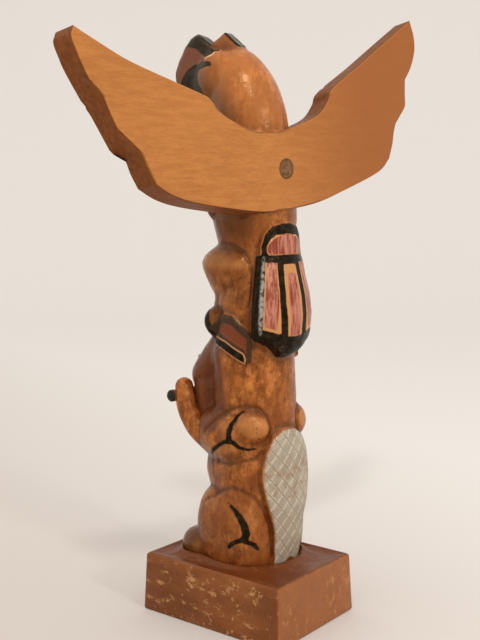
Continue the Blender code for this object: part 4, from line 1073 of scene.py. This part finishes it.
def board_wood():
    """The board's plain sawn wood, darker round its rim, partly its own darker edge wood and partly painted
    shade, with painted shade on the right wing's back and round the peg, and the painted feathers on its
    front.
    """
    s = Shader("board_wood")
    lean = (0, -BOARD_ROLL, 0)
    grain = s.noise(420.0, 4.0, 0.6, (0.10, 1.0, 1.0), lean)
    fine = s.noise(1400.0, 2.0, 0.6, (0.14, 1.0, 1.0), lean)
    patch = s.noise(22.0, 2.0, 0.5, (0.5, 1, 1), lean)
    across, height, share, border = [s.attribute(name) for name in ("across", "height", "share", "border")]
    base = s.mix(s.span(grain, 0.36, 0.66), (176, 112, 57), (190, 123, 64))
    base = s.wash(base, s.span(fine, 0.45, 0.7), 0.35, (156, 94, 44))
    base = s.wash(base, s.span(patch, 0.4, 0.7), 0.25, (196, 130, 70))
    # painted shade: the right wing's back darker, as it is lit less than the left
    base = s.wash(base, s.span(across, 20.0, -70.0), 0.85, (152, 88, 42))
    # the rim's sides darker: partly the edges' own darker wood, partly painted shade
    rim = s.times(s.span(share, 0.03, 0.10), s.span(share, 0.985, 0.95))
    colour = s.mix(rim, base, s.mix(s.span(grain, 0.35, 0.65), (112, 60, 26), (130, 74, 34)))
    worn = s.times(s.span(share, 0.0, 0.05), s.span(share, 0.14, 0.07))
    colour = s.wash(colour, worn, 0.45, (206, 140, 80))
    frayed = s.plus(border, s.times(s.minus(s.noise(500.0, 2.0), 0.5), 1.2))
    painted = s.mix(s.span(frayed, 4.6, 5.2), (206, 134, 74), (150, 70, 50))
    painted = s.mix(s.span(frayed, 3.8, 3.2), painted, (36, 32, 26))
    painted = s.mix(s.span(border, 8.8, 8.95), painted, (166, 88, 36))
    colour = s.mix(s.span(share, 0.93, 0.97), colour, painted)
    reach = s.math("SQRT", s.plus(s.times(across, across), s.times(height, height)))
    peg = PEG_DIAMETER / 2
    # painted shade: a dark ring in the gap round the peg's end
    gap = s.times(s.span(reach, peg + 0.75, peg + 0.2), s.span(share, 0.03, 0.0))
    colour = s.wash(colour, gap, 0.8, (60, 34, 18))
    rough = s.span(patch, 0.3, 0.7, 0.46, 0.58)
    return s.finish(colour, 0.25, (1.0, 0.76, 0.5), rough, s.plus(grain, s.times(fine, 0.3)), 0.25, 0.0004)


def plain_wood(name, dark, light, rough, black_to=None, length=None):
    """Plain grained wood, with both ends painted black as far as black_to on a rod of the given length."""
    s = Shader(name)
    grain = s.noise(600.0, 3.0, 0.6)
    colour = s.mix(s.span(grain, 0.35, 0.65), dark, light)
    if black_to:
        along = s.attribute("along")
        near = s.math("MINIMUM", along, s.minus(length, along))
        colour = s.mix(s.span(near, black_to, black_to - 0.5), colour, (28, 24, 20))
    return s.finish(colour, 0.25, (1.0, 1.0, 1.0), rough, grain, 0.3, 0.0004)


# put together
pole = pole_surface()
pole.data.materials.append(carved_wood())
board = board_surface()
board.data.materials.append(board_wood())
peg = peg_surface()
peg.data.materials.append(plain_wood("peg_wood", (92, 62, 36), (128, 90, 54), 0.62))
stick = stick_surface()
stick.data.materials.append(plain_wood("stick_wood", (116, 62, 42), (150, 90, 64), 0.45, 1.5, STICK_LENGTH))

arms = [arm_surface("arm_left", 1), arm_surface("arm_right", -1)]
for arm in arms:
    arm.data.materials.append(pole.data.materials[0])

for piece, node, slot in ((pole, "carved_pole", "carved_wood"), (board, "wing_board", "board_wood"),
                          (peg, "wing_peg", "peg_wood"), (stick, "carved_pole", "carved_wood"),
                          (arms[0], "carved_pole", "carved_wood"), (arms[1], "carved_pole", "carved_wood")):
    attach(piece, "root")
    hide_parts(node)

# stage: camera, a sheet of paper that curves up behind, lamps and world
SENSOR, FOCAL_PIXELS, PICTURE_PIXELS = 24.0, 1019.0, 640.0
CAMERA_PLACE = Vector((0.4194, 0.3227, 0.2196))
RIGHT, UP = Vector((-0.6164, 0.7874, 0.0)), Vector((-0.0921, -0.0721, 0.9931))
AWAY = Vector((-0.7874, -0.6164, 0.0))
FLOOR_NEAR, FLOOR_FLAT, FLOOR_BEND, FLOOR_HALF, FLOOR_TOP = -1.6, 1.3, 0.9, 2.6, 3.2
FLOOR_STEPS = 12

scene = bpy.context.scene
camera = bpy.data.objects.new("camera", bpy.data.cameras.new("camera"))
bpy.context.collection.objects.link(camera)
camera.data.sensor_fit = "VERTICAL"
camera.data.sensor_height = SENSOR
camera.data.lens = SENSOR * FOCAL_PIXELS / PICTURE_PIXELS
aim = Matrix((RIGHT, UP, RIGHT.cross(UP))).transposed().to_4x4()
aim.translation = CAMERA_PLACE
camera.matrix_world = aim
scene.camera = camera


def paper_floor():
    """Sheet that runs level away from the camera and then curves up, and ends in a straight wall."""
    steps = [(FLOOR_NEAR + (FLOOR_FLAT - FLOOR_NEAR) * k / FLOOR_STEPS, 0.0) for k in range(FLOOR_STEPS)]
    for bend in np.linspace(0.0, math.pi / 2, FLOOR_STEPS + 1):
        steps.append((FLOOR_FLAT + FLOOR_BEND * math.sin(bend), FLOOR_BEND * (1 - math.cos(bend))))
    steps.append((FLOOR_FLAT + FLOOR_BEND, FLOOR_TOP))
    points = np.array([AWAY * d + RIGHT * side + Vector((0, 0, z))
                       for d, z in steps for side in (-FLOOR_HALF, FLOOR_HALF)])
    quads = [(2 * k, 2 * k + 1, 2 * k + 3, 2 * k + 2) for k in range(len(steps) - 1)]
    return smooth_mesh("floor", points, quads, {})


def paper():
    """Matt paper with painted shade: a little darker low down, near the figure and towards the left."""
    s = Shader("paper")
    dot = s.node("ShaderNodeVectorMath", operation="DOT_PRODUCT")
    s.put(dot.inputs[0], s.coords)
    dot.inputs[1].default_value = (*(RIGHT + 0.8 * AWAY).xy, 1.0)
    # painted shade on the paper, darker low down, close to the figure and to the left
    floor_shade = s.node("ShaderNodeMapRange")
    for socket, value in zip(floor_shade.inputs, (dot.outputs["Value"], -0.25, 0.45, 0.0, 1.0)):
        s.put(socket, value)
    s.put(s.surface.inputs["Base Color"], s.mix(floor_shade.outputs[0], (210, 200, 193), (237, 233, 230)))
    s.surface.inputs["Roughness"].default_value = 0.9
    return s.material


floor = paper_floor()
floor.data.materials.append(paper())


def lamp(name, energy, size, across, height, depth, colour=(1, 1, 1)):
    """Area light placed from the camera's directions and aimed at the figure."""
    data = bpy.data.lights.new(name, "AREA")
    data.energy, data.size, data.color = energy, size, colour
    thing = bpy.data.objects.new(name, data)
    bpy.context.collection.objects.link(thing)
    place = RIGHT * across - AWAY * depth + Vector((0, 0, height))
    thing.location = place
    thing.rotation_euler = (place - Vector((0, 0, 0.16))).to_track_quat("Z", "Y").to_euler()


lamp("key", 4.6, 0.12, 0.04, 1.36, 0.85, (1.0, 0.97, 0.93))
lamp("side", 2.4, 0.10, 0.72, 0.62, 0.9, (1.0, 0.97, 0.94))
world = bpy.data.worlds.new("studio")
scene.world = world
world.use_nodes = True
sky = world.node_tree.nodes["Background"]
sky.inputs[0].default_value = (*shade((240, 236, 230)), 1.0)
sky.inputs[1].default_value = 1.07
scene.view_settings.view_transform = "Standard"
